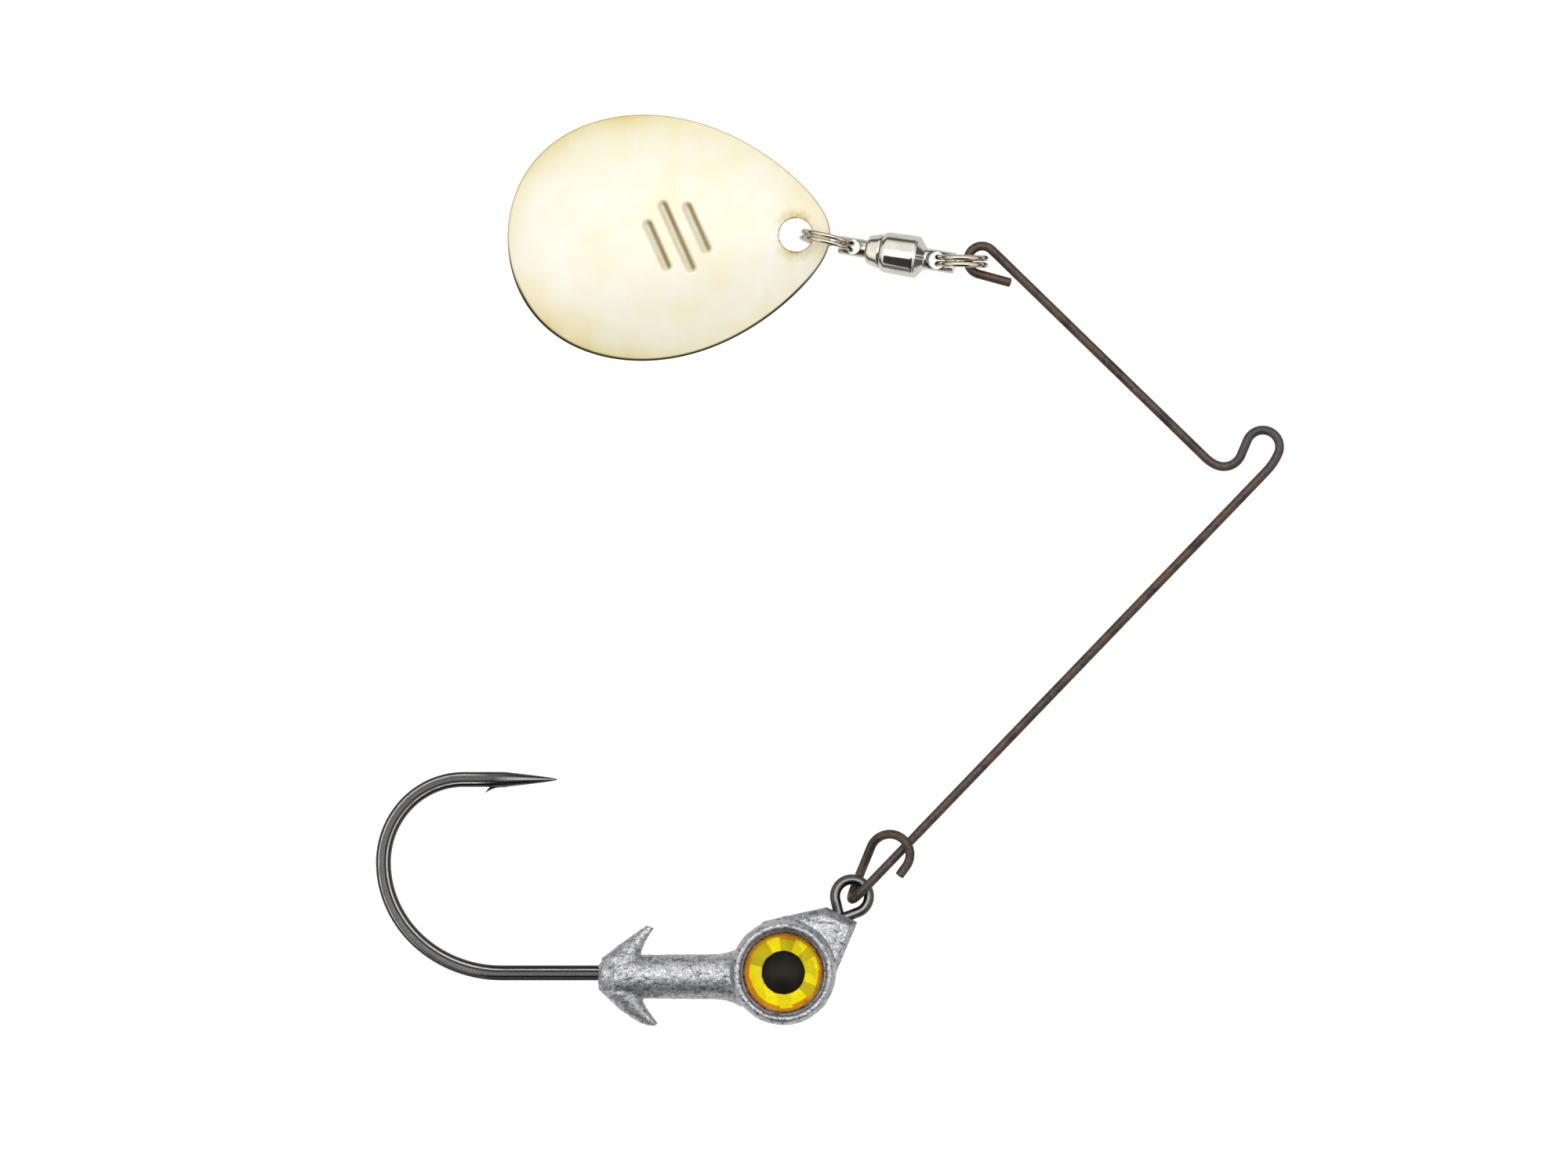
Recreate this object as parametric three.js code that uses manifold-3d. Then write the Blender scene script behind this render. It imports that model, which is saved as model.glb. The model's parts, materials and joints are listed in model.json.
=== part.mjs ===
// A jig spinner lure, lying flat on its side on a surface at Z = 0.
// Millimetres, +Z up. +X runs from the hook bend towards the line tie, +Y from the head to the blade.
// The origin is below the middle of the lure.
import * as THREE from 'three';
import { mergeVertices } from 'three/addons/utils/BufferGeometryUtils.js';
import Module from 'manifold-3d';

const wasm = await Module();
wasm.setup();

// ---------------------------------------------------------------- driving dimensions

const WIRE_SIDES = 8; // sides of every round wire
const BEND_STEP = 15; // degrees of turn between two sections of a bent wire
const CLEARANCE = 0.05; // gap between cast lead and the steel in it

// Cast head: a drum lying on its side, mid-plane at MID_Z
const MID_Z = 4;
const HEAD = { x: -4.48, y: -39.03, radius: 5.1, faceRadius: 4.45, halfThickness: 4, waist: 2.2 };
const SOCKET = { radius: 3.85, floor: 2.4 };
const BARREL = { radius: 2.15, flare: 2.5, start: -9, end: -20.6, y: -39.35 };
const KEEPER = { front: -22.65, frontRadius: 1.15, halfThickness: 1.35 };
const BARB = { tip: -17, tipReach: 4.88, bulge: -20.3, bulgeReach: 4, throat: -18.6, throatReach: 3.2, root: -17.7 };
const NOSE = { length: 8.1, halfThickness: 1.55, round: 0.6 };
const NOSE_EDGE = { tipLeft: -1.1, tipRight: 2.1, tipSlant: 0.6, baseLeft: -4.7, baseRight: 5, shoulder: 2.4 };

// Eyes: a foil disc under a clear dome, in each socket
const FOIL = { radius: 3.76, thickness: 0.18, gap: 0.05 };
const DOME = { radius: 3.76, edge: 0.45, crown: 0.72, gap: 0.05 };

// Hook: forged wire with an eye ring at the lure's front
const HOOK = { wire: 1.4, shankY: -39.1, bendStart: -31.77, spearY: -20.35 };
const HOOK_BEND = { left: -43.28, middleY: -28.39, upperX: -35.45 };
const HOOK_POINT = { taper: -31, tip: -26.4, tipShare: 0.08 };
const HOOK_BARB = { root: -31.5, heel: -32.9, tip: -33.4, depth: 1.27, inside: 0.5, thickness: 0.6 };
const EYE = { x: 2.18, y: -31.68, radius: 1.65, wire: 1.02, stemAngle: 48 };
const STEM_BEND = 2.5;

// Wire arm: bent from one spring wire
const ARM = { wire: 0.9, z: 5.06, legZ: 2.94, clipZ: 6.06 };
const ARM_START = { x: 3.63, y: -30.69, heading: 46.1, eyeHandle: 2.55 };
const LOWER_ARM = 55.8;
const LINE_TIE = { approach: 6, approachTurn: 19.6, loop: 1.63, loopTurn: 181.4, cross: 1.56 };
const LINE_TIE_EXIT = { reverse: 1.81, reverseTurn: -90.1, ease: 3.4, easeTurn: -21.2 };
const UPPER_ARM = 28.9;
const TOP_LOOP = { radius: 1.38, turn: 209, tail: 3.3 };
const CLIP = { x: 2.74, y: -30.06, heading: 67.9, leg: 3.45, lift: 0.9, radius: 1.95 };
const CLIP_OVER = { rise: 132, fall: 62, tail: 1.2 };

// Spinner chain, hanging from the top loop and leaning down to the surface by CHAIN_PITCH
const CHAIN_PITCH = 9;
const ARM_RING = { outer: 5.3, wire: 0.66, pitch: 0.72, turn: -1.5, lean: 0, fromHole: 2.4 };
const BLADE_RING = { outer: 5.5, wire: 0.53, pitch: 0.62, turn: -13.2, lean: -6, fromHole: -2.62 };
const RING_STEPS = 44;
const RING_CROSSING = 26; // degrees each side of the place where the wire steps over

// Swivel, along its own axis from the rotor's hole (0) to the barrel's hole
const SWIVEL = { turn: -9.2, holeX: -3, holeY: 0.08, holeSpan: 8.34 };
const STUD = { radius: 1.05, hole: 0.85, end: 10.1, neck: 7.2, flat: 0.88 };
const BARREL_SHELL = { start: 2.86, shoulder: 3.3, end: 6.4, startRadius: 1.78, radius: 2.06, bore: 1.52, floor: 5.75 };
const CAP = { start: 1.45, seam: 2.8, spigot: 3.4, startRadius: 1.32, radius: 1.68, bore: 0.64 };
const ROTOR = { radius: 0.9, hole: 0.72, end: -1.35, body: 1.1, neck: 0.55, flange: 4.2, flat: 0.8 };
const ROTOR_FLANGE = { thickness: 0.5, radius: 1.42, pin: 0.38, pinEnd: 5.6 };
const BALL = { count: 8, radius: 0.36, orbit: 1.02, place: 3.8 };
const WASHER = { start: 4.8, thickness: 0.35, radius: 1.42, bore: 0.46 };

// Blade: a teardrop sheet, domed upwards, resting on its far rim
const BLADE = { x: -15.56, y: 32.25, halfLength: 15.7, halfWidth: 11.78, thickness: 0.5, dish: 2.5, tilt: 2, turn: 1 };
const BLADE_TAPER = { linear: -0.188, square: -0.071, cube: -0.089 };
const BLADE_HOLE = { x: 12.35, radius: 1.55 };
const BLADE_RINGS = 6;
const BLADE_SECTORS = 44;

// ---------------------------------------------------------------- materials

function finish(color, metalness, roughness) {
  return new THREE.MeshStandardMaterial({ color, metalness, roughness });
}

const lead = finish(0x9a9a9f, 0.9, 0.55);
const blackNickel = finish(0x4a4644, 1, 0.35);
const bronzeWire = finish(0x59483a, 0.9, 0.45);
const nickel = finish(0xc9c4b6, 1, 0.25);
const bearingSteel = finish(0xdadada, 1, 0.15);
const brass = finish(0xb9a15c, 1, 0.35);
const goldPlate = finish(0xf0e6bf, 1, 0.2);
const eyeFoil = finish(0xf0d210, 0.4, 0.3);
const clearResin = finish(0xe8c860, 0, 0.1);

// ---------------------------------------------------------------- solids and booleans

const radians = THREE.MathUtils.degToRad;

function solid(geometry) {
  const bare = geometry.index ? geometry.toNonIndexed() : geometry.clone();
  bare.deleteAttribute('normal');
  bare.deleteAttribute('uv');
  const merged = mergeVertices(bare, 1e-4);
  const vertProperties = merged.attributes.position.array;
  const triVerts = new Uint32Array(merged.index.array);
  return new wasm.Manifold(new wasm.Mesh({ numProp: 3, vertProperties, triVerts }));
}

function geometryOf(manifold) {
  const mesh = manifold.getMesh();
  const geometry = new THREE.BufferGeometry();
  geometry.setAttribute('position', new THREE.BufferAttribute(mesh.vertProperties, 3));
  geometry.setIndex(new THREE.BufferAttribute(mesh.triVerts, 1));
  geometry.computeVertexNormals();
  return geometry;
}

function join(...geometries) {
  return geometryOf(geometries.map(solid).reduce((whole, part) => whole.add(part)));
}

function cut(geometry, ...tools) {
  return geometryOf(tools.map(solid).reduce((whole, tool) => whole.subtract(tool), solid(geometry)));
}

function overlapOf(first, second) {
  return geometryOf(solid(first).intersect(solid(second)));
}

const lure = new THREE.Group();

function add(name, geometry, material, parent = lure) {
  const mesh = new THREE.Mesh(geometry, material);
  mesh.name = name;
  parent.add(mesh);
  return mesh;
}

function group(parent, x, y, z, turn = 0) {
  const made = new THREE.Group();
  made.position.set(x, y, z);
  made.rotation.z = radians(turn);
  parent.add(made);
  return made;
}

// ---------------------------------------------------------------- bent wire

// A curve that an extrusion follows station by station, so bends stay fine and straights coarse.
class StationCurve extends THREE.Curve {
  constructor(stations) {
    super();
    this.stations = stations;
  }

  get last() {
    return this.stations.length - 1;
  }

  getPoint(t) {
    return this.stations[Math.round(t * this.last)].clone();
  }

  getUtoTmapping(u) {
    return u;
  }

  getTangent(t) {
    const here = Math.round(t * this.last);
    const tangent = new THREE.Vector3();
    if (here > 0) tangent.add(this.stations[here].clone().sub(this.stations[here - 1]).normalize());
    if (here < this.last) tangent.add(this.stations[here + 1].clone().sub(this.stations[here]).normalize());
    return tangent.normalize();
  }
}

// A route bent step by step in a horizontal plane, climbing where asked.
class WireRoute {
  constructor(x, y, z, heading) {
    this.at = new THREE.Vector3(x, y, z);
    this.heading = radians(heading);
    this.stations = [this.at.clone()];
  }

  get forward() {
    return new THREE.Vector3(Math.cos(this.heading), Math.sin(this.heading), 0);
  }

  straight(length, climb = 0) {
    this.at.addScaledVector(this.forward, length);
    this.at.z += climb;
    this.stations.push(this.at.clone());
    return this;
  }

  bend(radius, turn, climb = 0) {
    const steps = Math.max(2, Math.ceil(Math.abs(turn) / BEND_STEP));
    const stepTurn = radians(turn) / steps;
    const chord = 2 * radius * Math.abs(Math.sin(stepTurn / 2));
    for (let step = 0; step < steps; step += 1) {
      this.heading += stepTurn / 2;
      this.at.addScaledVector(this.forward, chord);
      this.at.z += climb / steps;
      this.heading += stepTurn / 2;
      this.stations.push(this.at.clone());
    }
    return this;
  }
}

function roundWire(stations, diameter) {
  const section = new THREE.Shape();
  section.absarc(0, 0, diameter / 2, 0, 2 * Math.PI);
  return new THREE.ExtrudeGeometry(section, {
    steps: stations.length - 1,
    curveSegments: WIRE_SIDES / 2,
    extrudePath: new StationCurve(stations),
  });
}

// ---------------------------------------------------------------- turned and extruded shapes

// A body turned about Z from [radius, height] pairs that start and end on the axis.
function turned(profile, segments) {
  return new THREE.LatheGeometry(profile.map(([radius, height]) => new THREE.Vector2(radius, height)), segments)
    .rotateX(Math.PI / 2);
}

// A body turned about X from [radius, place] pairs.
function turnedAlongX(profile, segments) {
  return turned(profile, segments).rotateY(Math.PI / 2);
}

function rod(radius, length, segments = 24) {
  return new THREE.CylinderGeometry(radius, radius, length, segments).rotateX(Math.PI / 2);
}

function plate(points, depth) {
  const outline = new THREE.Shape(points.map(([x, y]) => new THREE.Vector2(x, y)));
  return new THREE.ExtrudeGeometry(outline, { depth, bevelEnabled: false }).translate(0, 0, -depth / 2);
}

// ---------------------------------------------------------------- hook

function hookStations() {
  const { left, middleY, upperX } = HOOK_BEND;
  const stations = [];
  const stemRoute = new WireRoute(EYE.x, EYE.y, MID_Z, EYE.stemAngle + 180);
  const fall = (EYE.y - HOOK.shankY) / Math.sin(radians(EYE.stemAngle));
  const trim = STEM_BEND * Math.tan(radians(EYE.stemAngle / 2));
  stemRoute.straight(EYE.radius);
  stemRoute.straight(fall - trim - EYE.radius);
  stemRoute.bend(STEM_BEND, -EYE.stemAngle);
  stations.push(...stemRoute.stations.slice(1));
  stations.push(...ellipseQuarter(HOOK.bendStart, middleY, HOOK.bendStart - left, middleY - HOOK.shankY, -90, 9));
  stations.push(...ellipseQuarter(upperX, middleY, upperX - left, HOOK.spearY - middleY, 180, 7).slice(1));
  for (const share of [0, 0.35, 0.7, 1]) {
    stations.push(new THREE.Vector3(THREE.MathUtils.lerp(HOOK_POINT.taper, HOOK_POINT.tip, share), HOOK.spearY, MID_Z));
  }
  return stations;
}

// Clockwise quarter of an ellipse about (x, y), starting at an angle in degrees.
function ellipseQuarter(x, y, across, up, start, steps) {
  const stations = [];
  for (let step = 0; step <= steps; step += 1) {
    const angle = radians(start - (90 * step) / steps);
    stations.push(new THREE.Vector3(x + across * Math.cos(angle), y + up * Math.sin(angle), MID_Z));
  }
  return stations;
}

// Draws the last stretch of the spear down to a point.
function sharpen(geometry) {
  const place = geometry.attributes.position;
  const { taper, tip, tipShare } = HOOK_POINT;
  for (let i = 0; i < place.count; i += 1) {
    const x = place.getX(i);
    if (x < taper || place.getY(i) < HOOK.spearY - HOOK.wire) continue;
    if (x > tip + 0.01) continue;
    const along = (x - taper) / (tip - taper);
    const share = 1 - (1 - tipShare) * along ** 1.3;
    place.setY(i, HOOK.spearY + (place.getY(i) - HOOK.spearY) * share);
    place.setZ(i, MID_Z + (place.getZ(i) - MID_Z) * share);
  }
  return geometry;
}

function eyeRing(wire) {
  return new THREE.TorusGeometry(EYE.radius, wire / 2, WIRE_SIDES, 24).translate(EYE.x, EYE.y, MID_Z);
}

function hookBarb() {
  const { root, heel, tip, depth, inside, thickness } = HOOK_BARB;
  const outer = HOOK.spearY - inside;
  const points = [[root, outer], [heel, outer], [tip, HOOK.spearY - depth]];
  return plate(points, thickness).translate(0, 0, MID_Z);
}

function hook() {
  const wire = sharpen(roundWire(hookStations(), HOOK.wire));
  return join(wire, eyeRing(EYE.wire), hookBarb());
}

// The channel that the hook leaves in the lead.
function hookChannel() {
  const inLead = hookStations().filter((place) => place.x > HOOK.bendStart);
  const shank = inLead.filter((place) => place.y < EYE.y && place.y < HOOK.spearY - HOOK.wire);
  shank.push(new THREE.Vector3(HOOK.bendStart, HOOK.shankY, MID_Z));
  return [roundWire(shank, HOOK.wire + 2 * CLEARANCE), eyeRing(EYE.wire + 2 * CLEARANCE)];
}

// ---------------------------------------------------------------- lead head

function headDrum() {
  const { radius, faceRadius, halfThickness, waist } = HEAD;
  const shoulder = (radius + faceRadius) / 2;
  const upper = [[faceRadius, halfThickness], [shoulder, halfThickness * 0.86], [radius, waist]];
  const lower = upper.map(([r, z]) => [r, -z]).reverse();
  const whole = [[0, halfThickness], ...upper, ...lower, [0, -halfThickness]].reverse();
  return turned(whole, 40).translate(HEAD.x, HEAD.y, MID_Z);
}

function eyeSocket(side) {
  const depth = HEAD.halfThickness - SOCKET.floor + 1;
  return rod(SOCKET.radius, depth, 40).translate(HEAD.x, HEAD.y, MID_Z + side * (SOCKET.floor + depth / 2));
}

function barrel() {
  const { radius, flare, start, end } = BARREL;
  const profile = [[0, end], [radius, end], [radius, start - 1.2], [flare, start], [flare, start + 2], [0, start + 2]];
  return turnedAlongX(profile, 20).translate(0, BARREL.y, MID_Z);
}

// The keeper is a blunt arrowhead, squeezed flat, whose upper and lower barbs lean back.
function keeper() {
  const { front, frontRadius, halfThickness } = KEEPER;
  const { tip, tipReach, bulge, bulgeReach, throat, throatReach, root } = BARB;
  const corner = (x, y) => new THREE.Vector2(x, y);
  const start = corner(front, frontRadius);
  const end = corner(root, BARREL.radius - 0.2);
  const outer = new THREE.QuadraticBezierCurve(start, corner(bulge, bulgeReach), corner(tip, tipReach)).getPoints(5);
  const inner = new THREE.QuadraticBezierCurve(corner(tip, tipReach), corner(throat, throatReach), end).getPoints(4);
  const upper = [...outer, ...inner.slice(1)].map(({ x, y }) => [x, y]);
  const lower = upper.map(([x, y]) => [x, -y]).reverse();
  const flat = plate([...upper, ...lower], 2 * halfThickness);
  const turnedOutline = outer.map(({ x, y }) => [y + 0.1, x]);
  const rounded = turnedAlongX([[0, front], ...turnedOutline, [tipReach, tip + 1], [0, tip + 1]], 24);
  return overlapOf(flat, rounded).translate(0, BARREL.y, MID_Z);
}

function nose() {
  const { length, halfThickness, round } = NOSE;
  const { tipLeft, tipRight, tipSlant, baseLeft, baseRight, shoulder } = NOSE_EDGE;
  const points = [
    [0, -baseRight],
    [length + tipSlant / 2, -tipRight],
    [length - tipSlant, -tipLeft],
    [shoulder, -baseLeft],
    [0, -baseLeft],
  ];
  const outline = new THREE.Shape(points.map(([x, y]) => new THREE.Vector2(x, y)));
  const bevel = { bevelThickness: round, bevelSize: round, bevelOffset: -round, bevelSegments: 2 };
  return new THREE.ExtrudeGeometry(outline, { depth: 2 * halfThickness, ...bevel })
    .translate(0, 0, -halfThickness)
    .rotateZ(radians(EYE.stemAngle))
    .translate(HEAD.x, HEAD.y, MID_Z);
}

function leadHead() {
  const casting = join(headDrum(), barrel(), keeper(), nose());
  return cut(casting, eyeSocket(1), eyeSocket(-1), ...hookChannel());
}

// ---------------------------------------------------------------- eyes

function eyeFoilDisc(side) {
  const middle = SOCKET.floor + FOIL.gap + FOIL.thickness / 2;
  return rod(FOIL.radius, FOIL.thickness, 32).translate(HEAD.x, HEAD.y, MID_Z + side * middle);
}

function eyeDome(side) {
  const foot = SOCKET.floor + FOIL.gap + FOIL.thickness + DOME.gap;
  const { radius, edge, crown } = DOME;
  const profile = [[0, 0], [radius, 0], [radius, edge]];
  for (const share of [0.8, 0.55, 0.28, 0]) {
    profile.push([radius * share, edge + crown * (1 - share ** 2)]);
  }
  const dome = turned(profile, 32);
  if (side < 0) dome.rotateX(Math.PI);
  return dome.translate(HEAD.x, HEAD.y, MID_Z + side * foot);
}

// ---------------------------------------------------------------- wire arm

// The clip: from behind the hook eye up, over the arm and down in front of it.
function clipRoute() {
  const { x, y, heading, leg, lift, radius } = CLIP;
  const climb = ARM.clipZ - ARM.legZ - lift;
  const hidden = 0.9;
  return new WireRoute(x, y, ARM.legZ, heading)
    .straight(hidden)
    .straight(leg - hidden, lift)
    .bend(radius, -CLIP_OVER.rise, climb)
    .bend(radius, -CLIP_OVER.fall)
    .straight(CLIP_OVER.tail);
}

function armRoute() {
  return new WireRoute(ARM_START.x, ARM_START.y, ARM.z, ARM_START.heading)
    .straight(LOWER_ARM)
    .bend(LINE_TIE.approach, LINE_TIE.approachTurn)
    .bend(LINE_TIE.loop, LINE_TIE.loopTurn)
    .straight(LINE_TIE.cross)
    .bend(LINE_TIE_EXIT.reverse, LINE_TIE_EXIT.reverseTurn)
    .bend(LINE_TIE_EXIT.ease, LINE_TIE_EXIT.easeTurn)
    .straight(UPPER_ARM);
}

// The half turn through the hook eye, from the clip's leg behind it to the arm in front.
function throughEye(arm, clip) {
  const armOut = new THREE.Vector3(Math.cos(radians(ARM_START.heading)), Math.sin(radians(ARM_START.heading)), 0);
  const clipOut = new THREE.Vector3(Math.cos(radians(CLIP.heading)), Math.sin(radians(CLIP.heading)), 0);
  const half = new THREE.CubicBezierCurve3(
    clip,
    clip.clone().addScaledVector(clipOut, -ARM_START.eyeHandle),
    arm.clone().addScaledVector(armOut, -ARM_START.eyeHandle),
    arm,
  );
  return half.getPoints(12).slice(1, -1);
}

const armBeforeLoop = armRoute();
const loopStart = armBeforeLoop.at.clone();
const loopLeft = new THREE.Vector3(-Math.sin(armBeforeLoop.heading), Math.cos(armBeforeLoop.heading), 0);
const loopCentre = loopStart.clone().addScaledVector(loopLeft, TOP_LOOP.radius);

function wireArm() {
  const clip = clipRoute().stations;
  const arm = armRoute().bend(TOP_LOOP.radius, TOP_LOOP.turn).straight(TOP_LOOP.tail).stations;
  const stations = [...clip.slice().reverse(), ...throughEye(arm[0], clip[0]), ...arm];
  return roundWire(stations, ARM.wire);
}

// ---------------------------------------------------------------- split rings

// Two turns of wire side by side about Y, with one step over at the bottom.
function splitRing({ outer, wire, pitch }) {
  const radius = (outer - wire) / 2;
  const crossing = radians(RING_CROSSING);
  const stations = [];
  for (let step = 0; step <= RING_STEPS; step += 1) {
    const turnedBy = THREE.MathUtils.lerp(crossing, 4 * Math.PI - crossing, step / RING_STEPS);
    const across = THREE.MathUtils.smoothstep(turnedBy, 2 * Math.PI - crossing, 2 * Math.PI + crossing) - 0.5;
    const angle = turnedBy - Math.PI / 2;
    stations.push(new THREE.Vector3(radius * Math.cos(angle), across * pitch, radius * Math.sin(angle)));
  }
  return roundWire(stations, wire);
}

// ---------------------------------------------------------------- swivel, along +X from the rotor's hole

function crossHole(place, radius) {
  const flare = radius + 0.12;
  const profile = [[0, -3], [flare, -3], [flare, -1], [radius, -0.7], [radius, 0.7], [flare, 1], [flare, 3], [0, 3]];
  return turned(profile, 20).translate(place, 0, 0);
}

function flats(place, length, height) {
  const far = 2;
  const block = new THREE.BoxGeometry(length, 6, far);
  return [1, -1].map((side) => block.clone().translate(place, 0, side * (height + far / 2)));
}

function swivelBarrel() {
  const { start, shoulder, end, startRadius, radius, bore, floor } = BARREL_SHELL;
  const outside = [
    [bore, start], [startRadius, start], [radius - 0.1, shoulder], [radius, end],
    [STUD.radius, STUD.neck], [STUD.radius, STUD.end - 0.15], [STUD.radius - 0.15, STUD.end], [0, STUD.end],
  ];
  const inside = [[0, floor], [bore, floor]];
  const body = turnedAlongX([...inside, ...outside], 28);
  return cut(body, crossHole(SWIVEL.holeSpan, STUD.hole), ...flats(SWIVEL.holeSpan + 0.6, 2.6, STUD.flat));
}

function swivelEndCap() {
  const { start, seam, spigot, startRadius, radius, bore } = CAP;
  const spigotRadius = BARREL_SHELL.bore - CLEARANCE;
  const profile = [
    [bore, start], [startRadius, start], [radius, seam], [spigotRadius, seam],
    [spigotRadius, spigot], [bore, spigot], [bore, start],
  ];
  return turnedAlongX(profile, 28);
}

function swivelRotor() {
  const { radius, hole, end, body, neck, flange, flat } = ROTOR;
  const { thickness, radius: flangeRadius, pin, pinEnd } = ROTOR_FLANGE;
  const profile = [
    [0, end], [radius - 0.15, end], [radius, end + 0.15], [radius, body], [neck, body + 0.1], [neck, flange],
    [flangeRadius, flange], [flangeRadius, flange + thickness], [pin, flange + thickness], [pin, pinEnd], [0, pinEnd],
  ];
  return cut(turnedAlongX(profile, 24), crossHole(0, hole), ...flats(-0.35, 2.2, flat));
}

function swivelWasher() {
  const { start, thickness, radius, bore } = WASHER;
  const end = start + thickness;
  return turnedAlongX([[bore, start], [radius, start], [radius, end], [bore, end], [bore, start]], 24);
}

// ---------------------------------------------------------------- blade

// Half-width of the teardrop at a place from -1 (far rim) to 1 (tip), as a share of halfWidth.
function bladeHalfWidth(place) {
  const { linear, square, cube } = BLADE_TAPER;
  const round = Math.sqrt(Math.max(0, 1 - place ** 2));
  return round * (1 + linear * place + square * place ** 2 + cube * place ** 3);
}

function domeHeight(share) {
  return BLADE.dish * (1 - share ** 2.3);
}

function blade() {
  const profile = [];
  for (let ring = 0; ring <= BLADE_RINGS; ring += 1) {
    profile.push(new THREE.Vector2(ring / BLADE_RINGS, 0));
  }
  const bottomToTop = [...profile, ...profile.slice().reverse().map(({ x }) => new THREE.Vector2(x, 1))];
  const sheet = new THREE.LatheGeometry(bottomToTop, BLADE_SECTORS).rotateX(Math.PI / 2);
  const place = sheet.attributes.position;
  for (let i = 0; i < place.count; i += 1) {
    const share = Math.min(1, Math.hypot(place.getX(i), place.getY(i)));
    const angle = Math.atan2(place.getY(i), place.getX(i));
    const top = place.getZ(i) > 0.5 ? BLADE.thickness : 0;
    place.setX(i, share * BLADE.halfLength * Math.cos(angle));
    place.setY(i, share * BLADE.halfWidth * bladeHalfWidth(Math.cos(angle)) * Math.sign(Math.sin(angle)));
    place.setZ(i, domeHeight(share) + top);
  }
  const hole = rod(BLADE_HOLE.radius, 10, 28).translate(BLADE_HOLE.x, 0, 0);
  return cut(sheet, hole);
}

// ---------------------------------------------------------------- assembly

add('lead_head', leadHead(), lead);
add('hook', hook(), blackNickel);
for (const [side, name] of [[1, 'upper'], [-1, 'lower']]) {
  add(`eye_foil_${name}`, eyeFoilDisc(side), eyeFoil);
  add(`eye_dome_${name}`, eyeDome(side), clearResin);
}
add('wire_arm', wireArm(), bronzeWire);

// Everything beyond the top loop leans down from the loop's left side.
const chain = group(lure, loopCentre.x - TOP_LOOP.radius, loopCentre.y - 0.1, ARM.z);
chain.rotation.y = radians(-CHAIN_PITCH);

function ringAtHole(name, ring, hole) {
  const turn = radians(ring.turn);
  const x = hole.x + ring.fromHole * Math.cos(turn);
  const y = hole.y + ring.fromHole * Math.sin(turn);
  const mesh = add(name, splitRing(ring), nickel, group(chain, x, y, 0, ring.turn));
  mesh.rotation.x = radians(ring.lean);
}

const swivelTurn = radians(SWIVEL.turn);
const barrelHole = new THREE.Vector3(SWIVEL.holeX, SWIVEL.holeY, 0);
const rotorHole = new THREE.Vector3(-Math.cos(swivelTurn), -Math.sin(swivelTurn), 0)
  .multiplyScalar(SWIVEL.holeSpan)
  .add(barrelHole);
ringAtHole('arm_split_ring', ARM_RING, barrelHole);
ringAtHole('blade_split_ring', BLADE_RING, rotorHole);

const swivel = group(chain, rotorHole.x, rotorHole.y, 0, SWIVEL.turn);
add('swivel_barrel', swivelBarrel(), nickel, swivel);
add('swivel_end_cap', swivelEndCap(), nickel, swivel);
add('swivel_rotor', swivelRotor(), nickel, swivel);
add('swivel_washer', swivelWasher(), brass, swivel);
for (let index = 0; index < BALL.count; index += 1) {
  const angle = (2 * Math.PI * index) / BALL.count;
  const ball = add(`swivel_ball_${index + 1}`, new THREE.SphereGeometry(BALL.radius, 10, 6), bearingSteel, swivel);
  ball.position.set(BALL.place, BALL.orbit * Math.cos(angle), BALL.orbit * Math.sin(angle));
}

const bladePlace = group(lure, BLADE.x, BLADE.y, BLADE.halfLength * Math.sin(radians(BLADE.tilt)), BLADE.turn);
bladePlace.rotation.y = radians(-BLADE.tilt);
add('blade', blade(), goldPlate, bladePlace);

export default lure;
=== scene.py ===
import json
import random
from math import ceil, copysign, cos, hypot, pi, radians, sin, sqrt

import bmesh
import bpy
from mathutils import Matrix, Vector, noise


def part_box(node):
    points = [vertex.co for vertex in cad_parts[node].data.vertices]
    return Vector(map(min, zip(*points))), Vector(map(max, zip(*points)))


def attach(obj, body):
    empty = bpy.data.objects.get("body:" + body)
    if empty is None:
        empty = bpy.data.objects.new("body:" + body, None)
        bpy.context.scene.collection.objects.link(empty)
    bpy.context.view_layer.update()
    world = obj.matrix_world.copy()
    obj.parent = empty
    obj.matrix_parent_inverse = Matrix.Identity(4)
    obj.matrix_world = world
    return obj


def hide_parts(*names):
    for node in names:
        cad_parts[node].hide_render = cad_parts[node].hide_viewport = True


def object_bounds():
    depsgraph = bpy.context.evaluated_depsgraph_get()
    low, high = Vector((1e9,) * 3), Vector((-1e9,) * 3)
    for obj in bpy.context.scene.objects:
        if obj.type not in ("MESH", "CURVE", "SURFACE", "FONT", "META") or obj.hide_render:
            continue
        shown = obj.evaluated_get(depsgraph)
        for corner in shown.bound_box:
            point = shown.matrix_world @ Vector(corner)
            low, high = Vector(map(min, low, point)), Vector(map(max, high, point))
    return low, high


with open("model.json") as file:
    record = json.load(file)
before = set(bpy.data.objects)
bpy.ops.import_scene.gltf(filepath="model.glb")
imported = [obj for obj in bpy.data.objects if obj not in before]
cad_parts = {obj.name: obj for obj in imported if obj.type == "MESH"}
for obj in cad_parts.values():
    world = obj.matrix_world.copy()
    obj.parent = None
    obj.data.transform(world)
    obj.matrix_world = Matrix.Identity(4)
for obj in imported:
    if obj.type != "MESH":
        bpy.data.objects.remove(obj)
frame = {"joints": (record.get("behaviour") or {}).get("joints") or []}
cad_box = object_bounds()

MM = 0.001  # shapes are worked out in millimetres and made in metres

# ---------------- places, from the frame


def middle(node):
    """Centre of a CAD node's box, in millimetres."""
    low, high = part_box(node)
    return (low + high) / (2 * MM)


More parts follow.
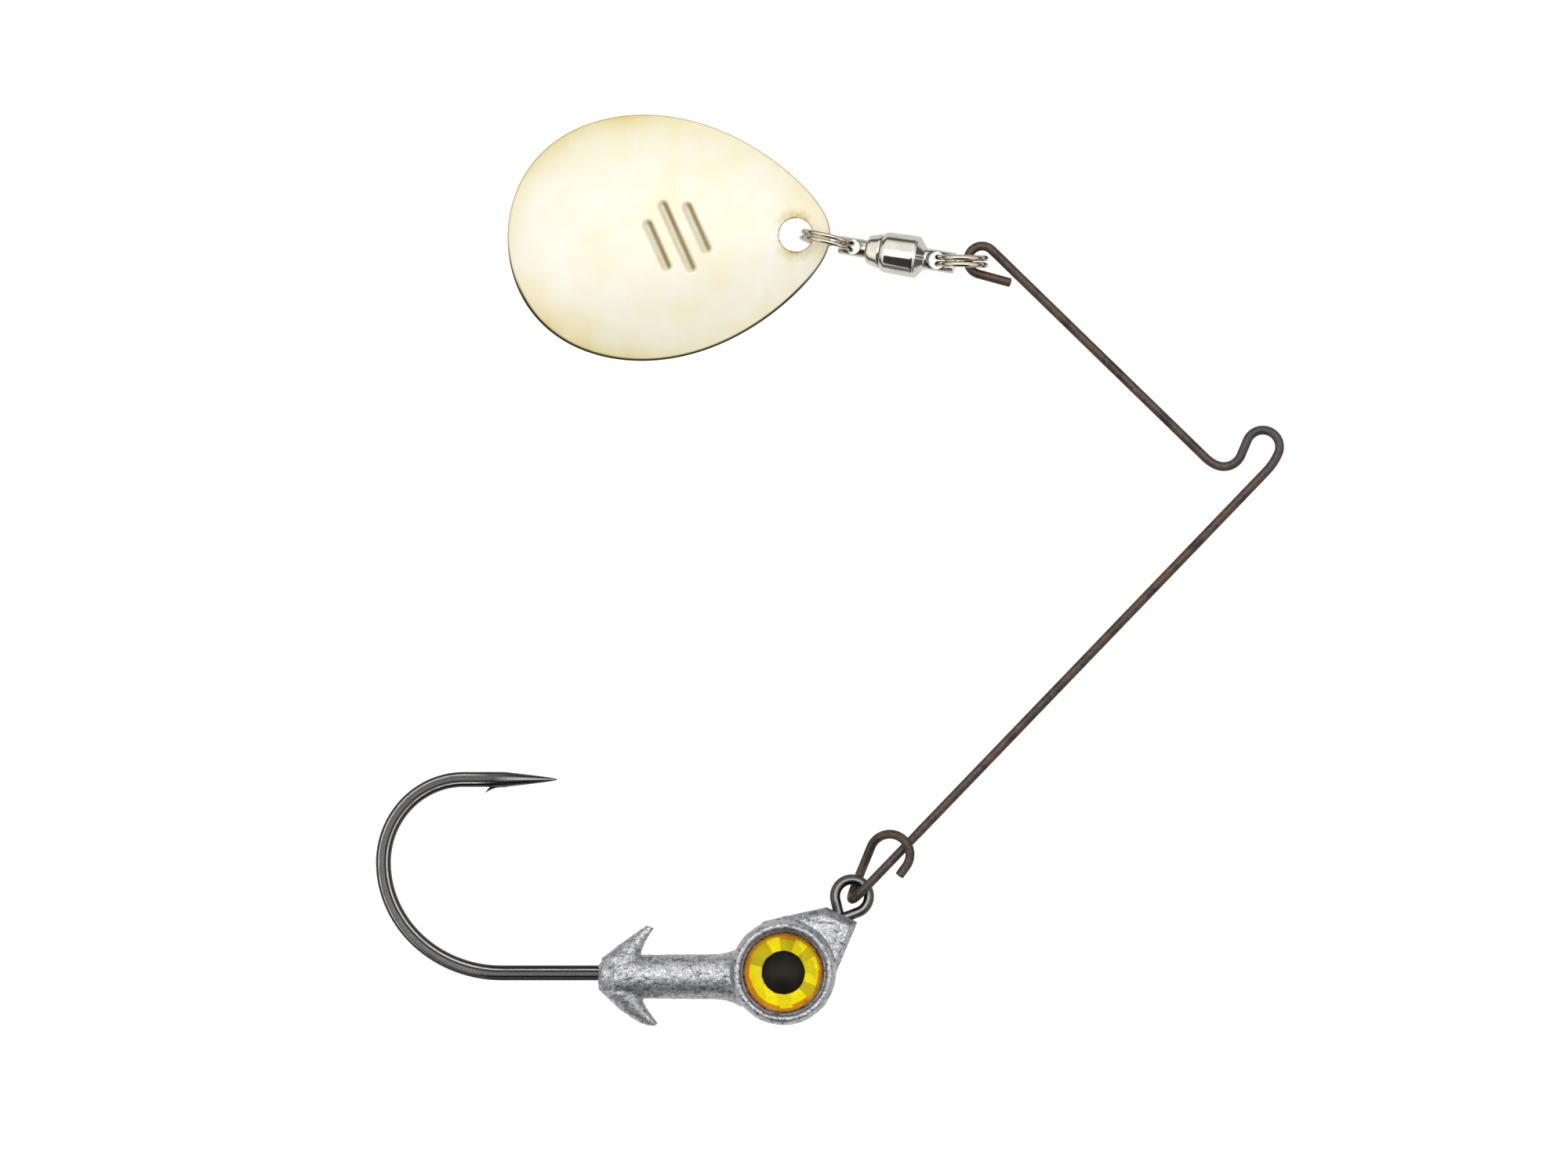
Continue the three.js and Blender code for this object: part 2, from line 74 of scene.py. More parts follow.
def joint(name):
    """Pivot in millimetres and axis of a joint."""
    found = next(j for j in frame["joints"] if j["name"] == name)
    return Vector(found["pos_m"]) / MM, Vector(found["axis"]).normalized()


def axes(origin, along, upward):
    """Matrix of a local frame with X along one direction and Z close to the other."""
    x = Vector(along).normalized()
    y = Vector(upward).cross(x).normalized()
    z = x.cross(y)
    return Matrix.Translation(origin) @ Matrix((x, y, z)).transposed().to_4x4()


def turned_by(axis, degrees):
    return Matrix.Rotation(radians(degrees), 4, axis)


EYE_RING, _ = joint("arm_swing")
BARREL_HOLE, HOLE_AXIS = joint("swivel_swing")
ROTOR_HOLE, SPIN_AXIS = joint("rotor_spin")
BLADE_LIP, BLADE_ACROSS = joint("blade_flap")
HEAD = middle("eye_foil_upper")
MID_Z = middle("hook").z
HEAD.z = MID_Z

# ---------------- meshes


def add_object(name, data):
    made = bpy.data.objects.new(name, data)
    bpy.context.scene.collection.objects.link(made)
    return made


def from_shape(name, shape):
    """An object holding a bmesh, which is used up."""
    mesh = bpy.data.meshes.new(name)
    shape.to_mesh(mesh)
    shape.free()
    return add_object(name, mesh)


def add_piece(name, points, faces, matrix=Matrix.Identity(4)):
    """A smooth-shaded object from points in millimetres."""
    mesh = bpy.data.meshes.new(name)
    mesh.from_pydata([(matrix @ Vector(p)) * MM for p in points], [], faces)
    made = add_object(name, mesh)
    face_outwards(made)
    return made


def face_outwards(piece, triangulate=False):
    shape = bmesh.new()
    shape.from_mesh(piece.data)
    if triangulate:
        bmesh.ops.triangulate(shape, faces=shape.faces, ngon_method="EAR_CLIP")
    bmesh.ops.recalc_face_normals(shape, faces=shape.faces)
    shape.to_mesh(piece.data)
    shape.free()
    piece.data.shade_smooth()


def modify(piece, kind, **settings):
    """Adds a modifier and applies it."""
    change = piece.modifiers.new(kind.lower(), kind)
    for setting, value in settings.items():
        setattr(change, setting, value)
    bpy.context.view_layer.update()
    seen = piece.evaluated_get(bpy.context.evaluated_depsgraph_get())
    old = piece.data
    piece.data = bpy.data.meshes.new_from_object(seen)
    piece.modifiers.clear()
    bpy.data.meshes.remove(old)


def cut(piece, *tools, solver="EXACT"):
    for tool in tools:
        modify(piece, "BOOLEAN", operation="DIFFERENCE", object=tool, solver=solver)
        bpy.data.objects.remove(tool)
    piece.data.materials.clear()


def shade(piece, angle):
    """Shades a piece smooth, but for edges sharper than an angle."""
    piece.data.shade_smooth()
    piece.data.set_sharp_from_angle(angle=radians(angle))


def ease_edges(piece, width, sharp=35, segments=3):
    """Rounds every edge sharper than an angle, then shades the rest smooth."""
    limit = {"limit_method": "ANGLE", "angle_limit": radians(sharp)}
    modify(piece, "BEVEL", width=width * MM, segments=segments, **limit)
    shade(piece, 50)


def move_vertices(piece, place):
    """Puts each vertex where place(vertex) says."""
    moved = [c for vertex in piece.data.vertices for c in place(vertex)]
    piece.data.vertices.foreach_set("co", moved)
    piece.data.update()


def keep_in_frame(piece):
    """Holds a shape inside the CAD model's box, which its fine unevenness could leave."""
    low, high = cad_box
    move_vertices(piece, lambda vertex: [min(max(c, a), b) for c, a, b in zip(vertex.co, low, high)])


def joined(name, pieces):
    """One object holding the meshes of several, which are removed."""
    whole = bmesh.new()
    for piece in pieces:
        whole.from_mesh(piece.data)
        bpy.data.objects.remove(piece)
    return from_shape(name, whole)


def store(piece, name, values):
    """Saves one number for each vertex, for the piece's material to read."""
    layer = piece.data.attributes.new(name, "FLOAT", "POINT")
    layer.data.foreach_set("value", values)


def settle(piece, body, slot, paint, *nodes):
    """Paints a piece, puts it on its body and lets it stand for its CAD nodes."""
    for each in paint if isinstance(paint, list) else [paint]:
        piece.data.materials.append(each)
    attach(piece, body)
    if nodes:
        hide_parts(*nodes)
    return piece

# ---------------- outlines and sweeps


def lerp(low, high, share):
    return low + (high - low) * share


def smooth(low, high, value):
    """From 0 below low to 1 above high, easing in and out."""
    share = min(1, max(0, (value - low) / (high - low)))
    return share * share * (3 - 2 * share)


def heading_vector(degrees):
    """Level unit vector at an angle from X."""
    return Vector((cos(radians(degrees)), sin(radians(degrees)), 0))


def angles(count):
    """Equal steps round a circle, in radians."""
    return [2 * pi * k / count for k in range(count)]


def arc(centre, radius, start, end, steps):
    """Points of a level arc, from one angle in degrees to another."""
    headings = [lerp(start, end, step / steps) for step in range(steps + 1)]
    return [centre + radius * heading_vector(heading) for heading in headings]


def curve(first, handle, last, t):
    return first * (1 - t) ** 2 + handle * 2 * t * (1 - t) + last * t * t


def bezier(first, second, third, fourth, steps):
    points = []
    for step in range(steps + 1):
        t = step / steps
        s = 1 - t
        points.append(first * s ** 3 + second * 3 * s * s * t + third * 3 * s * t * t + fourth * t ** 3)
    return points


def lengths(path):
    """Distance of each point of a path from its start."""
    total = [0.0]
    for here, there in zip(path, path[1:]):
        total.append(total[-1] + (there - here).length)
    return total


def even(path, step):
    """The same path with its points a step apart."""
    distance = lengths(path)
    count = ceil(distance[-1] / step)
    points, piece = [], 0
    for index in range(count + 1):
        wanted = distance[-1] * index / count
        while piece < len(path) - 2 and distance[piece + 1] < wanted:
            piece += 1
        share = (wanted - distance[piece]) / (distance[piece + 1] - distance[piece])
        points.append(path[piece].lerp(path[piece + 1], share))
    return points


def blunt_ends(path, reach, steps=4):
    """Adds points close to both ends, where the tube rounds off."""

    def start_of(points):
        forward = (points[1] - points[0]).normalized()
        turns = [radians(90 * step / steps) for step in range(steps + 1)]
        near = [points[0] + forward * reach * (1 - cos(angle)) for angle in turns]
        return near + [p for p, d in zip(points, lengths(points)) if d > reach * 1.3]

    return start_of(start_of(path)[::-1])[::-1]


def end_scale(distance, total, reach):
    """Share of the full radius at a distance from the start of a blunt-ended tube."""
    inward = min(distance, total - distance)
    if inward >= reach:
        return 1
    return max(0.02, sqrt(1 - (1 - inward / reach) ** 2))


def loft(outlines, closed=False):
    """Points and faces through outlines of equal count or single points, with both ends closed.

    A closed loft joins its last outline to its first instead.
    """
    points, rings = [], []
    for outline in outlines:
        rings.append(range(len(points), len(points) + len(outline)))
        points += outline
    count = max(len(ring) for ring in rings)
    faces = []
    for first, second in zip(rings, rings[1:] + rings[:1] if closed else rings[1:]):
        for k in range(count):
            places = ((first, k), (first, k + 1), (second, k + 1), (second, k))
            corners = list(dict.fromkeys(ring[place % len(ring)] for ring, place in places))
            if len(corners) > 2:
                faces.append(corners)
    ends = [] if closed else [rings[0], rings[-1]]
    return points, faces + [tuple(ring) for ring in ends if len(ring) > 1]


def sweep(path, section, up=(0, 0, 1)):
    """Points and faces of a tube; section(index) gives its outline as (across, upward) pairs."""
    outlines = []
    side = Vector(up)
    for index, here in enumerate(path):
        before = path[max(0, index - 1)]
        after = path[min(len(path) - 1, index + 1)]
        ahead = (after - before).normalized()
        side = (side - ahead * side.dot(ahead)).normalized()
        across = side.cross(ahead)
        outlines.append([here + across * u + side * v for u, v in section(index)])
    return loft(outlines)


def round_section(radius, sides, flat=0.0, wide=1.0):
    """A circle whose upper and lower sides are pressed flat by a share of the radius."""
    height = radius * (1 - flat)
    outline = []
    for angle in angles(sides):
        outline.append((radius * wide * cos(angle), max(-height, min(height, radius * sin(angle)))))
    return outline


def round_corners(points, reach, steps=4):
    """Replaces each inner corner of an outline by a short curve."""
    outline = [points[0]]
    for before, corner, after in zip(points, points[1:], points[2:]):
        before, corner, after = Vector(before), Vector(corner), Vector(after)
        back, onward = before - corner, after - corner
        first = corner + back * min(reach / back.length, 0.45)
        last = corner + onward * min(reach / onward.length, 0.45)
        outline += [tuple(curve(first, corner, last, step / steps)) for step in range(steps + 1)]
    return [*outline, points[-1]]


def turn(profile, segments, closed=False):
    """Points and faces of a body turned about X from (place, radius) pairs."""
    outlines = []
    for place, radius in profile:
        around = angles(segments if radius > 1e-6 else 1)
        outlines.append([(place, radius * cos(angle), radius * sin(angle)) for angle in around])
    return loft(outlines, closed)


class Route:
    """A wire bent step by step in a level plane, climbing where asked."""

    BEND_STEP = 5  # degrees

    def __init__(self, start, heading):
        self.at = start
        self.heading = heading
        self.points = [start]

    def straight(self, length, climb=0.0):
        self.at = self.at + heading_vector(self.heading) * length + Vector((0, 0, climb))
        self.points.append(self.at)
        return self

    def bend(self, radius, turn_by, climb=0.0):
        steps = ceil(abs(turn_by) / self.BEND_STEP)
        each = turn_by / steps
        chord = 2 * radius * sin(radians(abs(each) / 2))
        for _ in range(steps):
            self.heading += each / 2
            self.straight(chord, climb / steps)
            self.heading += each / 2
        return self

# ---------------- materials


def opaque(color):
    """A grey or a colour with its alpha; a node's output stays as it is."""
    if isinstance(color, tuple):
        return (*color, 1)
    return (color, color, color, 1) if isinstance(color, (int, float)) else color


class Nodes:
    """The node tree of a material or a world; sizes are in millimetres."""

    def __init__(self, owner):
        owner.use_nodes = True
        self.tree = owner.node_tree

    def feed(self, made, inputs):
        """Links or sets each input of a node."""
        for socket, value in inputs.items():
            if isinstance(value, bpy.types.NodeSocket):
                self.tree.links.new(value, made.inputs[socket])
            else:
                made.inputs[socket].default_value = value

    def node(self, kind, inputs=None, **settings):
        made = self.tree.nodes.new(kind)
        for setting, value in settings.items():
            setattr(made, setting, value)
        self.feed(made, inputs or {})
        return made

    def ramp(self, factor, *stops):
        """Blends between (place, grey or colour) stops."""
        made = self.node("ShaderNodeValToRGB", {"Fac": factor})
        elements = made.color_ramp.elements
        while len(elements) < len(stops):
            elements.new(0.5)
        for element, (place, color) in zip(elements, stops):
            element.position = place
            element.color = opaque(color)
        return made.outputs["Color"]


class Paint(Nodes):
    """A Principled material; its sockets are named with _ for each space."""

    def __init__(self, name, metallic, roughness, **sockets):
        self.material = bpy.data.materials.new(name)
        super().__init__(self.material)
        self.shader = self.tree.nodes["Principled BSDF"]
        self.set(Metallic=metallic, Roughness=roughness, **sockets)
        self.place = self.node("ShaderNodeTexCoord").outputs["Object"]

    def set(self, **sockets):
        self.feed(self.shader, {name.replace("_", " "): value for name, value in sockets.items()})

    def noise(self, size, detail=3.0, rough=0.55, stretch=None, warp=0.0):
        place = self.place
        if stretch:
            scaled = self.node("ShaderNodeVectorMath", {0: place, 1: stretch}, operation="MULTIPLY")
            place = scaled.outputs[0]
        made = self.node("ShaderNodeTexNoise", {"Vector": place, "Scale": 1 / (size * MM)})
        self.feed(made, {"Detail": detail, "Roughness": rough, "Distortion": warp})
        return made.outputs["Fac"]

    def attribute(self, name):
        return self.node("ShaderNodeAttribute", attribute_name=name).outputs["Fac"]

    def mix(self, factor, first, second, blend="MIX"):
        inputs = {0: factor, 6: opaque(first), 7: opaque(second)}
        return self.node("ShaderNodeMix", inputs, data_type="RGBA", blend_type=blend).outputs[2]

    def times(self, first, second):
        return self.mix(1.0, first, second, "MULTIPLY")

    def number(self, operation, first, second):
        return self.node("ShaderNodeMath", {0: first, 1: second}, operation=operation).outputs[0]

    def bump(self, height, depth, strength=1.0):
        """Roughens the surface; a second call adds to the first."""
        inputs = {"Distance": depth * MM, "Strength": strength, "Height": height}
        before = self.shader.inputs["Normal"]
        if before.is_linked:
            inputs["Normal"] = before.links[0].from_socket
        self.set(Normal=self.node("ShaderNodeBump", inputs).outputs["Normal"])


def cast_lead():
    """Dull grey casting, crinkled and pitted, streaked with dark oxide over bright scuffs."""
    paint = Paint("cast_lead", 0.95, 0.36)
    crinkle = paint.noise(0.26, detail=6, rough=0.75, warp=0.8)
    blotches = paint.noise(1.1, detail=4, rough=0.6, warp=1.2)
    streaks = paint.noise(0.4, detail=4, rough=0.65, stretch=(0.4, 1, 1))
    pits = paint.ramp(paint.noise(0.3, detail=2, warp=0.8), (0.66, 0.0), (0.72, 1.0))
    grey = paint.ramp(crinkle, (0.35, 0.09), (0.42, 0.34), (0.5, 0.55), (0.58, 0.70), (0.66, 1.0))
    shading = paint.ramp(blotches, (0.34, 0.75), (0.44, 0.95), (0.6, 1.0))
    tone = paint.times(paint.times(grey, shading), paint.ramp(streaks, (0.37, 0.4), (0.45, 1.0)))
    pitted = paint.mix(pits, tone, (0.10, 0.10, 0.105))
    roughness = paint.ramp(crinkle, (0.35, 0.40), (0.62, 0.24))
    paint.set(Base_Color=paint.times(pitted, (0.95, 0.955, 1.0)), Roughness=roughness)
    paint.bump(blotches, 0.12, 0.5)
    paint.bump(streaks, 0.05, 0.5)
    paint.bump(crinkle, 0.06, 0.9)
    return paint.material


# painted highlights and painted shade: grey at each place across the hook's wire, from one side (0) to
# the other (1)
DRAWN_PAINTED_LIGHT = (
    (0.0, 0.26), (0.12, 0.08), (0.24, 0.03), (0.36, 0.30),
    (0.5, 0.36), (0.62, 0.09), (0.8, 0.12), (1.0, 0.26),
)
FORGED_PAINTED_LIGHT = (
    (0.0, 0.10), (0.07, 0.02), (0.115, 0.05), (0.15, 0.62), (0.18, 0.62), (0.22, 0.11), (0.5, 0.14),
    (0.56, 0.03), (0.64, 0.02), (0.69, 0.48), (0.73, 0.48), (0.77, 0.05), (0.85, 0.04), (0.93, 0.13),
)


def hook_steel():
    """Black nickel over wire, with painted highlights and painted shade in bands across the wire, placed
    as on the die-pressed flats.
    """
    paint = Paint("black_nickel", 1.0, 0.3)
    grain = paint.noise(0.13, detail=5, rough=0.75)
    cloud = paint.noise(1.6, detail=4)
    across = paint.attribute("across")
    pressed = paint.attribute("forged")
    # painted highlights and painted shade across the round wire and across the pressed wire
    drawn = paint.ramp(across, *DRAWN_PAINTED_LIGHT)
    clouded = paint.ramp(cloud, (0.32, 0.55), (0.5, 0.0))
    forged = paint.mix(clouded, paint.ramp(across, *FORGED_PAINTED_LIGHT), (0.09, 0.085, 0.08))
    tone = paint.mix(paint.ramp(pressed, (0.0, 0.0), (0.4, 1.0)), drawn, forged)
    dulled = paint.times(tone, paint.ramp(pressed, (0.0, 1.0), (0.4, 0.7), (0.9, 1.0)))
    grained = paint.times(dulled, paint.ramp(grain, (0.34, 0.45), (0.5, 0.85), (0.66, 1.0)))
    roughness = paint.ramp(grain, (0.3, 0.22), (0.75, 0.38))
    paint.set(Base_Color=paint.times(grained, (1.0, 0.965, 0.94)), Roughness=roughness)
    paint.bump(grain, 0.02, 0.6)
    return paint.material


def arm_wire():
    """Spring wire under a brown tarnish, with rustier and bluer stretches."""
    paint = Paint("tarnished_wire", 0.75, 0.42)
    scratches = paint.noise(0.16, detail=4, rough=0.7)
    cloud = paint.noise(1.5, detail=5, rough=0.7)
    brown = paint.ramp(
        cloud,
        (0.32, (0.040, 0.033, 0.034)),
        (0.42, (0.075, 0.052, 0.040)),
        (0.50, (0.100, 0.084, 0.078)),
        (0.58, (0.130, 0.078, 0.046)),
        (0.68, (0.150, 0.130, 0.100)),
    )
    worn = paint.times(brown, paint.ramp(scratches, (0.35, 0.55), (0.65, 1.25)))
    blued = paint.mix(paint.attribute("blued"), worn, (0.085, 0.080, 0.092))
    rusty = paint.mix(paint.attribute("rusty"), blued, (0.17, 0.085, 0.042))
    paint.set(Base_Color=rusty, Roughness=paint.ramp(cloud, (0.35, 0.36), (0.7, 0.55)))
    paint.bump(scratches, 0.015, 0.6)
    return paint.material


def nickel(name="nickel_plate", color=(0.77, 0.73, 0.645), roughness=0.065):
    """Bright plate with a soft bloom, a few dull specks and painted shade where the mesh marks it."""
    paint = Paint(name, 1.0, roughness)
    specks = paint.noise(0.14, detail=4, rough=0.8)
    bloom = paint.noise(0.9, detail=3)
    tone = paint.ramp(bloom, (0.35, tuple(0.86 * c for c in color)), (0.65, color))
    spotted = paint.mix(paint.ramp(specks, (0.64, 0.0), (0.74, 0.55)), tone, (0.22, 0.19, 0.15))
    paint.set(
        # painted shade in the flared mouths of the cross holes
        Base_Color=paint.mix(paint.attribute("hole_mouth_shade"), spotted, (0.07, 0.05, 0.028)),
        Roughness=paint.ramp(bloom, (0.3, roughness * 0.8), (0.7, roughness * 1.7)),
    )
    paint.bump(specks, 0.006, 0.5)
    return paint.material


def blade_plate():
    """Pale bright plate over brass: gold towards the rim, stained at the hole, dark on the edge, with
    painted shade that darkens the edge towards the bottom and lies in the flutes.
    """
    paint = Paint("blade_plate", 0.12, 0.38, Specular_IOR_Level=0.3)
    cloud = paint.noise(4.5, detail=3)
    drift = paint.noise(2.2, detail=3, stretch=(1, 0.4, 1))
    fine = paint.noise(0.5, detail=4, rough=0.7)
    pale = paint.ramp(cloud, (0.35, (0.885, 0.83, 0.63)), (0.65, (0.9, 0.88, 0.765)))
    washed = paint.mix(paint.ramp(drift, (0.45, 0.0), (0.8, 0.4)), pale, (0.90, 0.80, 0.50))
    rim_share = paint.number("MULTIPLY", paint.attribute("rim"), 0.7)
    gold_zone = paint.number("ADD", rim_share, paint.number("MULTIPLY", drift, 0.3))
    gilding = paint.ramp(gold_zone, (0.25, 0.0), (0.5, 0.22), (0.7, 0.5), (0.88, 0.9))
    gilded = paint.mix(gilding, washed, (0.70, 0.57, 0.17))
    patchy = paint.ramp(fine, (0.35, 0.3), (0.6, 1.0))
    stain = paint.number("MULTIPLY", paint.attribute("stain"), patchy)
    stained = paint.mix(stain, gilded, (0.52, 0.36, 0.03))
    # painted shade in the flutes, carried by the groove mark
    flute_shaded = paint.mix(paint.attribute("groove"), stained, (0.28, 0.20, 0.07))
    # the dark edge, with painted shade making it darker towards the bottom
    edge = paint.attribute("edge")
    edge_tone = paint.ramp(edge, (0.6, (0.34, 0.25, 0.04)), (0.85, (0.014, 0.009, 0.002)))
    roughness = paint.ramp(fine, (0.3, 0.36), (0.7, 0.48))
    paint.set(Base_Color=paint.mix(edge, flute_shaded, edge_tone), Roughness=roughness)
    paint.bump(paint.noise(1.4, detail=2), 0.02, 0.25)
    paint.bump(fine, 0.004, 0.4)
    return paint.material


def foil(name, color, painted_glow):
    """Printed foil, embossed in small square facets, glowing in its own colour as painted light."""
    paint = Paint(name, 0.1, 0.35, Specular_IOR_Level=0.08)
    inputs = {"Vector": paint.place, "Scale": 1 / (1.25 * MM), "Randomness": 0.7}
    facets = paint.node("ShaderNodeTexVoronoi", inputs, distance="CHEBYCHEV")
    shading = paint.ramp(facets.outputs["Color"], (0.2, 0.72), (0.45, 0.95), (0.8, 1.0))
    crackle = paint.ramp(paint.noise(0.25, detail=3), (0.35, 0.85), (0.5, 1.0))
    toned = paint.times(paint.times(shading, crackle), color)
    # painted light: the foil glows in its own colour, lifting it out of the socket's shade
    paint.set(Base_Color=toned, Emission_Color=toned, Emission_Strength=painted_glow)
    paint.bump(facets.outputs["Distance"], 0.12, 0.5)
    return paint.material


def pupil_ink():
    paint = Paint("pupil_ink", 0.0, 0.35, Specular_IOR_Level=0.1)
    dust = paint.noise(0.1, detail=4, rough=0.8)
    paint.set(Base_Color=paint.ramp(dust, (0.4, 0.002), (0.7, 0.018)))
    paint.bump(dust, 0.01, 0.4)
    return paint.material


def clear_resin():
    """A clear cap: see-through straight on, and glossy at its edge."""
    made = bpy.data.materials.new("clear_resin")
    resin = Nodes(made)
    resin.tree.nodes.remove(resin.tree.nodes["Principled BSDF"])
    fresnel = resin.node("ShaderNodeFresnel", {"IOR": 1.12})
    through = resin.node("ShaderNodeBsdfTransparent", {"Color": (0.99, 0.97, 0.90, 1)})
    gloss = resin.node("ShaderNodeBsdfGlossy", {"Roughness": 0.06})
    layers = {index: layer.outputs[0] for index, layer in enumerate((fresnel, through, gloss))}
    mixed = resin.node("ShaderNodeMixShader", layers)
    resin.feed(resin.tree.nodes["Material Output"], {"Surface": mixed.outputs[0]})
    return made


def plain(name, color, roughness, metallic=0.0):
    """One colour with soft, faint clouds."""
    paint = Paint(name, metallic, roughness)
    darker = tuple(0.92 * c for c in color)
    paint.set(Base_Color=paint.ramp(paint.noise(0.4), (0.3, darker), (0.7, color)))
    return paint.material

# ---------------- lead head

COLLAR = {"radius": 5.1, "socket": 3.95, "floor": 2.4, "waist": 2.2}
COLLAR_RIM = [
    (3.3, 3.92), (3.42, 3.98), (3.46, 4.14), (3.8, 4.22),
    (3.97, 4.36), (3.98, 4.56), (3.86, 4.76), (3.3, 5.0),
]
BARREL = {"left": -20.9, "right": -10.9, "end": -8.55}
BARREL_RADIUS = {"left": 2.12, "right": 2.2, "flare": 0.75}
BARREL_DROP = 0.44  # below the eyes' centre, in the picture
BARREL_Y = HEAD.y - BARREL_DROP
KEEPER_PLACE = Matrix.Translation((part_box("lead_head")[0].x / MM, BARREL_Y, MID_Z))
KEEPER_NOSE = [(0.25, 0), (0.25, 1.2), (0.6, 1.6), (2.0, 2.08), (4.5, 2.1), (5.0, 0)]
# corners of each barb's outline: tip, back, front and root; and the bow of its outer edge
UPPER_BARB = ((4.95, 5.02), (5.65, 4.68), (0.5, 1.8), (4.3, 1.9)), 0.05
LOWER_BARB = ((5.6, -4.86), (6.05, -4.52), (0.6, -1.6), (4.45, -1.9)), 1.1
BARB_THICKNESS = {"inner": 1.7, "outer": 0.45}
BARB_ROOT = 1.2  # how far the barbs reach into the core
BARB_HOLLOW = 0.35  # bow of their inner edges
BARB_STEPS = 18
BARB_SIDES = 24
NOSE = {"length": 8.1, "base": 2.5, "tip": 1.95, "chamfer": 0.85, "angle": 48, "centre": (3.5, -0.5)}
NOSE_EDGE = [(0, -5.0), (8.4, -2.1), (7.5, 1.1), (2.4, 4.7), (0, 4.7)]
LEAD_VOXEL = 0.098
LEAD_SMOOTHING = 2
DENTS = ((1.1, 0.045), (0.42, 0.02))  # size and depth of the casting's unevenness
HOOK_GAP = 0.02


def collar():
    """The drum that holds both eyes, with a rounded lip round each socket."""
    floor, waist = COLLAR["floor"], COLLAR["waist"]
    upper = [(floor, 0), (floor, COLLAR["socket"]), *COLLAR_RIM, (waist, COLLAR["radius"])]
    profile = upper + [(-z, r) for z, r in reversed(upper)]
    return add_piece("collar", *turn(profile, 96), Matrix.Translation(HEAD) @ turned_by("Y", -90))


def barrel():
    """The stem between the collar and the keeper, flaring where it meets the collar."""
    left, right, end = BARREL["left"], BARREL["right"], BARREL["end"]
    profile = [(left, 0), (left, BARREL_RADIUS["left"])]
    for share in (step / 6 for step in range(7)):
        radius = BARREL_RADIUS["right"] + BARREL_RADIUS["flare"] * share ** 2
        profile.append((lerp(right, end, share), radius))
    profile.append((end, 0))
    return add_piece("barrel", *turn(profile, 64), Matrix.Translation((0, BARREL_Y, MID_Z)))


def barb(name, corners, bow):
    """One leaning barb of the keeper: oval sections between its outer and inner edges."""
    tip, back, front, root = (Vector(corner) for corner in corners)
    outer_handle = front.lerp(tip, 0.6) + Vector((0, copysign(bow, tip.y)))
    inner_handle = root.lerp(back, 0.4) - Vector((BARB_HOLLOW, 0))
    outlines = []
    for step in range(-1, BARB_STEPS):
        t = max(0, step) / (BARB_STEPS - 1)
        sink = Vector((0, copysign(BARB_ROOT, -tip.y) if step < 0 else 0))
        outer = curve(front, outer_handle, tip, t) + sink
        inner = curve(root, inner_handle, back, t) + sink
        centre, half = (outer + inner) / 2, (outer - inner) / 2
        height = lerp(BARB_THICKNESS["inner"], BARB_THICKNESS["outer"], t)
        outlines.append([(*(centre + half * cos(a)), height * sin(a)) for a in angles(BARB_SIDES)])
    return add_piece(name, *loft(outlines), KEEPER_PLACE)


def nose():
    """The wedge in front of the collar that holds the hook's eye, with bevelled sides."""
    chamfer = NOSE["chamfer"]
    centre = Vector(NOSE["centre"])
    outlines = []
    for side, inset in ((-1, 1), (-1, 0), (1, 0), (1, 1)):
        ring = []
        for corner in NOSE_EDGE:
            x, y = Vector(corner) + (centre - Vector(corner)).normalized() * chamfer * inset
            height = lerp(NOSE["base"], NOSE["tip"], x / NOSE["length"]) - chamfer * (1 - inset)
            ring.append((x, y, side * height))
        outlines.append(ring)
    made = add_piece("nose", *loft(outlines), Matrix.Translation(HEAD) @ turned_by("Z", NOSE["angle"]))
    face_outwards(made, triangulate=True)
    return made


def roughen(piece, layers):
    """Moves each vertex along its normal by smooth noise, as a casting's skin is uneven."""

    def pushed(vertex):
        push = sum(depth * noise.noise(vertex.co / MM / size) for size, depth in layers)
        return vertex.co + vertex.normal * push * MM

    move_vertices(piece, pushed)


def lead_head(path):
    """The casting, with a channel a little wider than the hook that lies in it."""
    core = add_piece("core", *turn(KEEPER_NOSE, 48), KEEPER_PLACE)
    parts = [collar(), barrel(), core, barb("upper", *UPPER_BARB), barb("lower", *LOWER_BARB), nose()]
    head = joined("cast_lead_head", parts)
    modify(head, "REMESH", mode="VOXEL", voxel_size=LEAD_VOXEL * MM)
    modify(head, "SMOOTH", factor=0.5, iterations=LEAD_SMOOTHING)
    roughen(head, DENTS)
    keep_in_frame(head)
    radii = [radius + HOOK_GAP for radius in hook_radius(path)]
    channel = sweep(path, lambda index: round_section(radii[index], 16))
    cut(head, add_piece("channel", *channel), solver="MANIFOLD")
    head.data.shade_smooth()
    settle(head, "jig", "cast_lead", cast_lead(), "lead_head")

# ---------------- hook

HOOK = {"radius": 0.74, "shank": -39.1 - HEAD.y, "bend": -31.77, "spear": -20.35}
HOOK_POINT = {"tip": -26.4, "taper": -31.4, "blunt": 0.08, "power": 0.8}
HOOK_BEND = {"left": -43.24, "middle": -28.39, "upper": -35.45}
HOOK_FLAT = {"bend": 0.24, "shank": 0.12, "growing": (0, -20), "into_bend": 4, "fading": (-34, -30)}
HOOK_SIDES = 40
MIDDLE_OF_GAP = (HEAD.y + HOOK["shank"] + HOOK["spear"]) / 2
EYE_LOOP = {"radius": 1.65, "wire": 0.51, "stem_side": 194.5, "end_side": -70, "stem": 3.0, "end": 2.6}
EYE_CLIMB = {"stem": -0.26, "end": 0.45}
IN_LEAD = {"stem_handle": 3, "shank_handle": 5, "shank": -9.5}  # the bend hidden in the head
EYE_WIRE = {"beyond_stem": 5, "thickening": 6}  # how far the eye's thin wire reaches
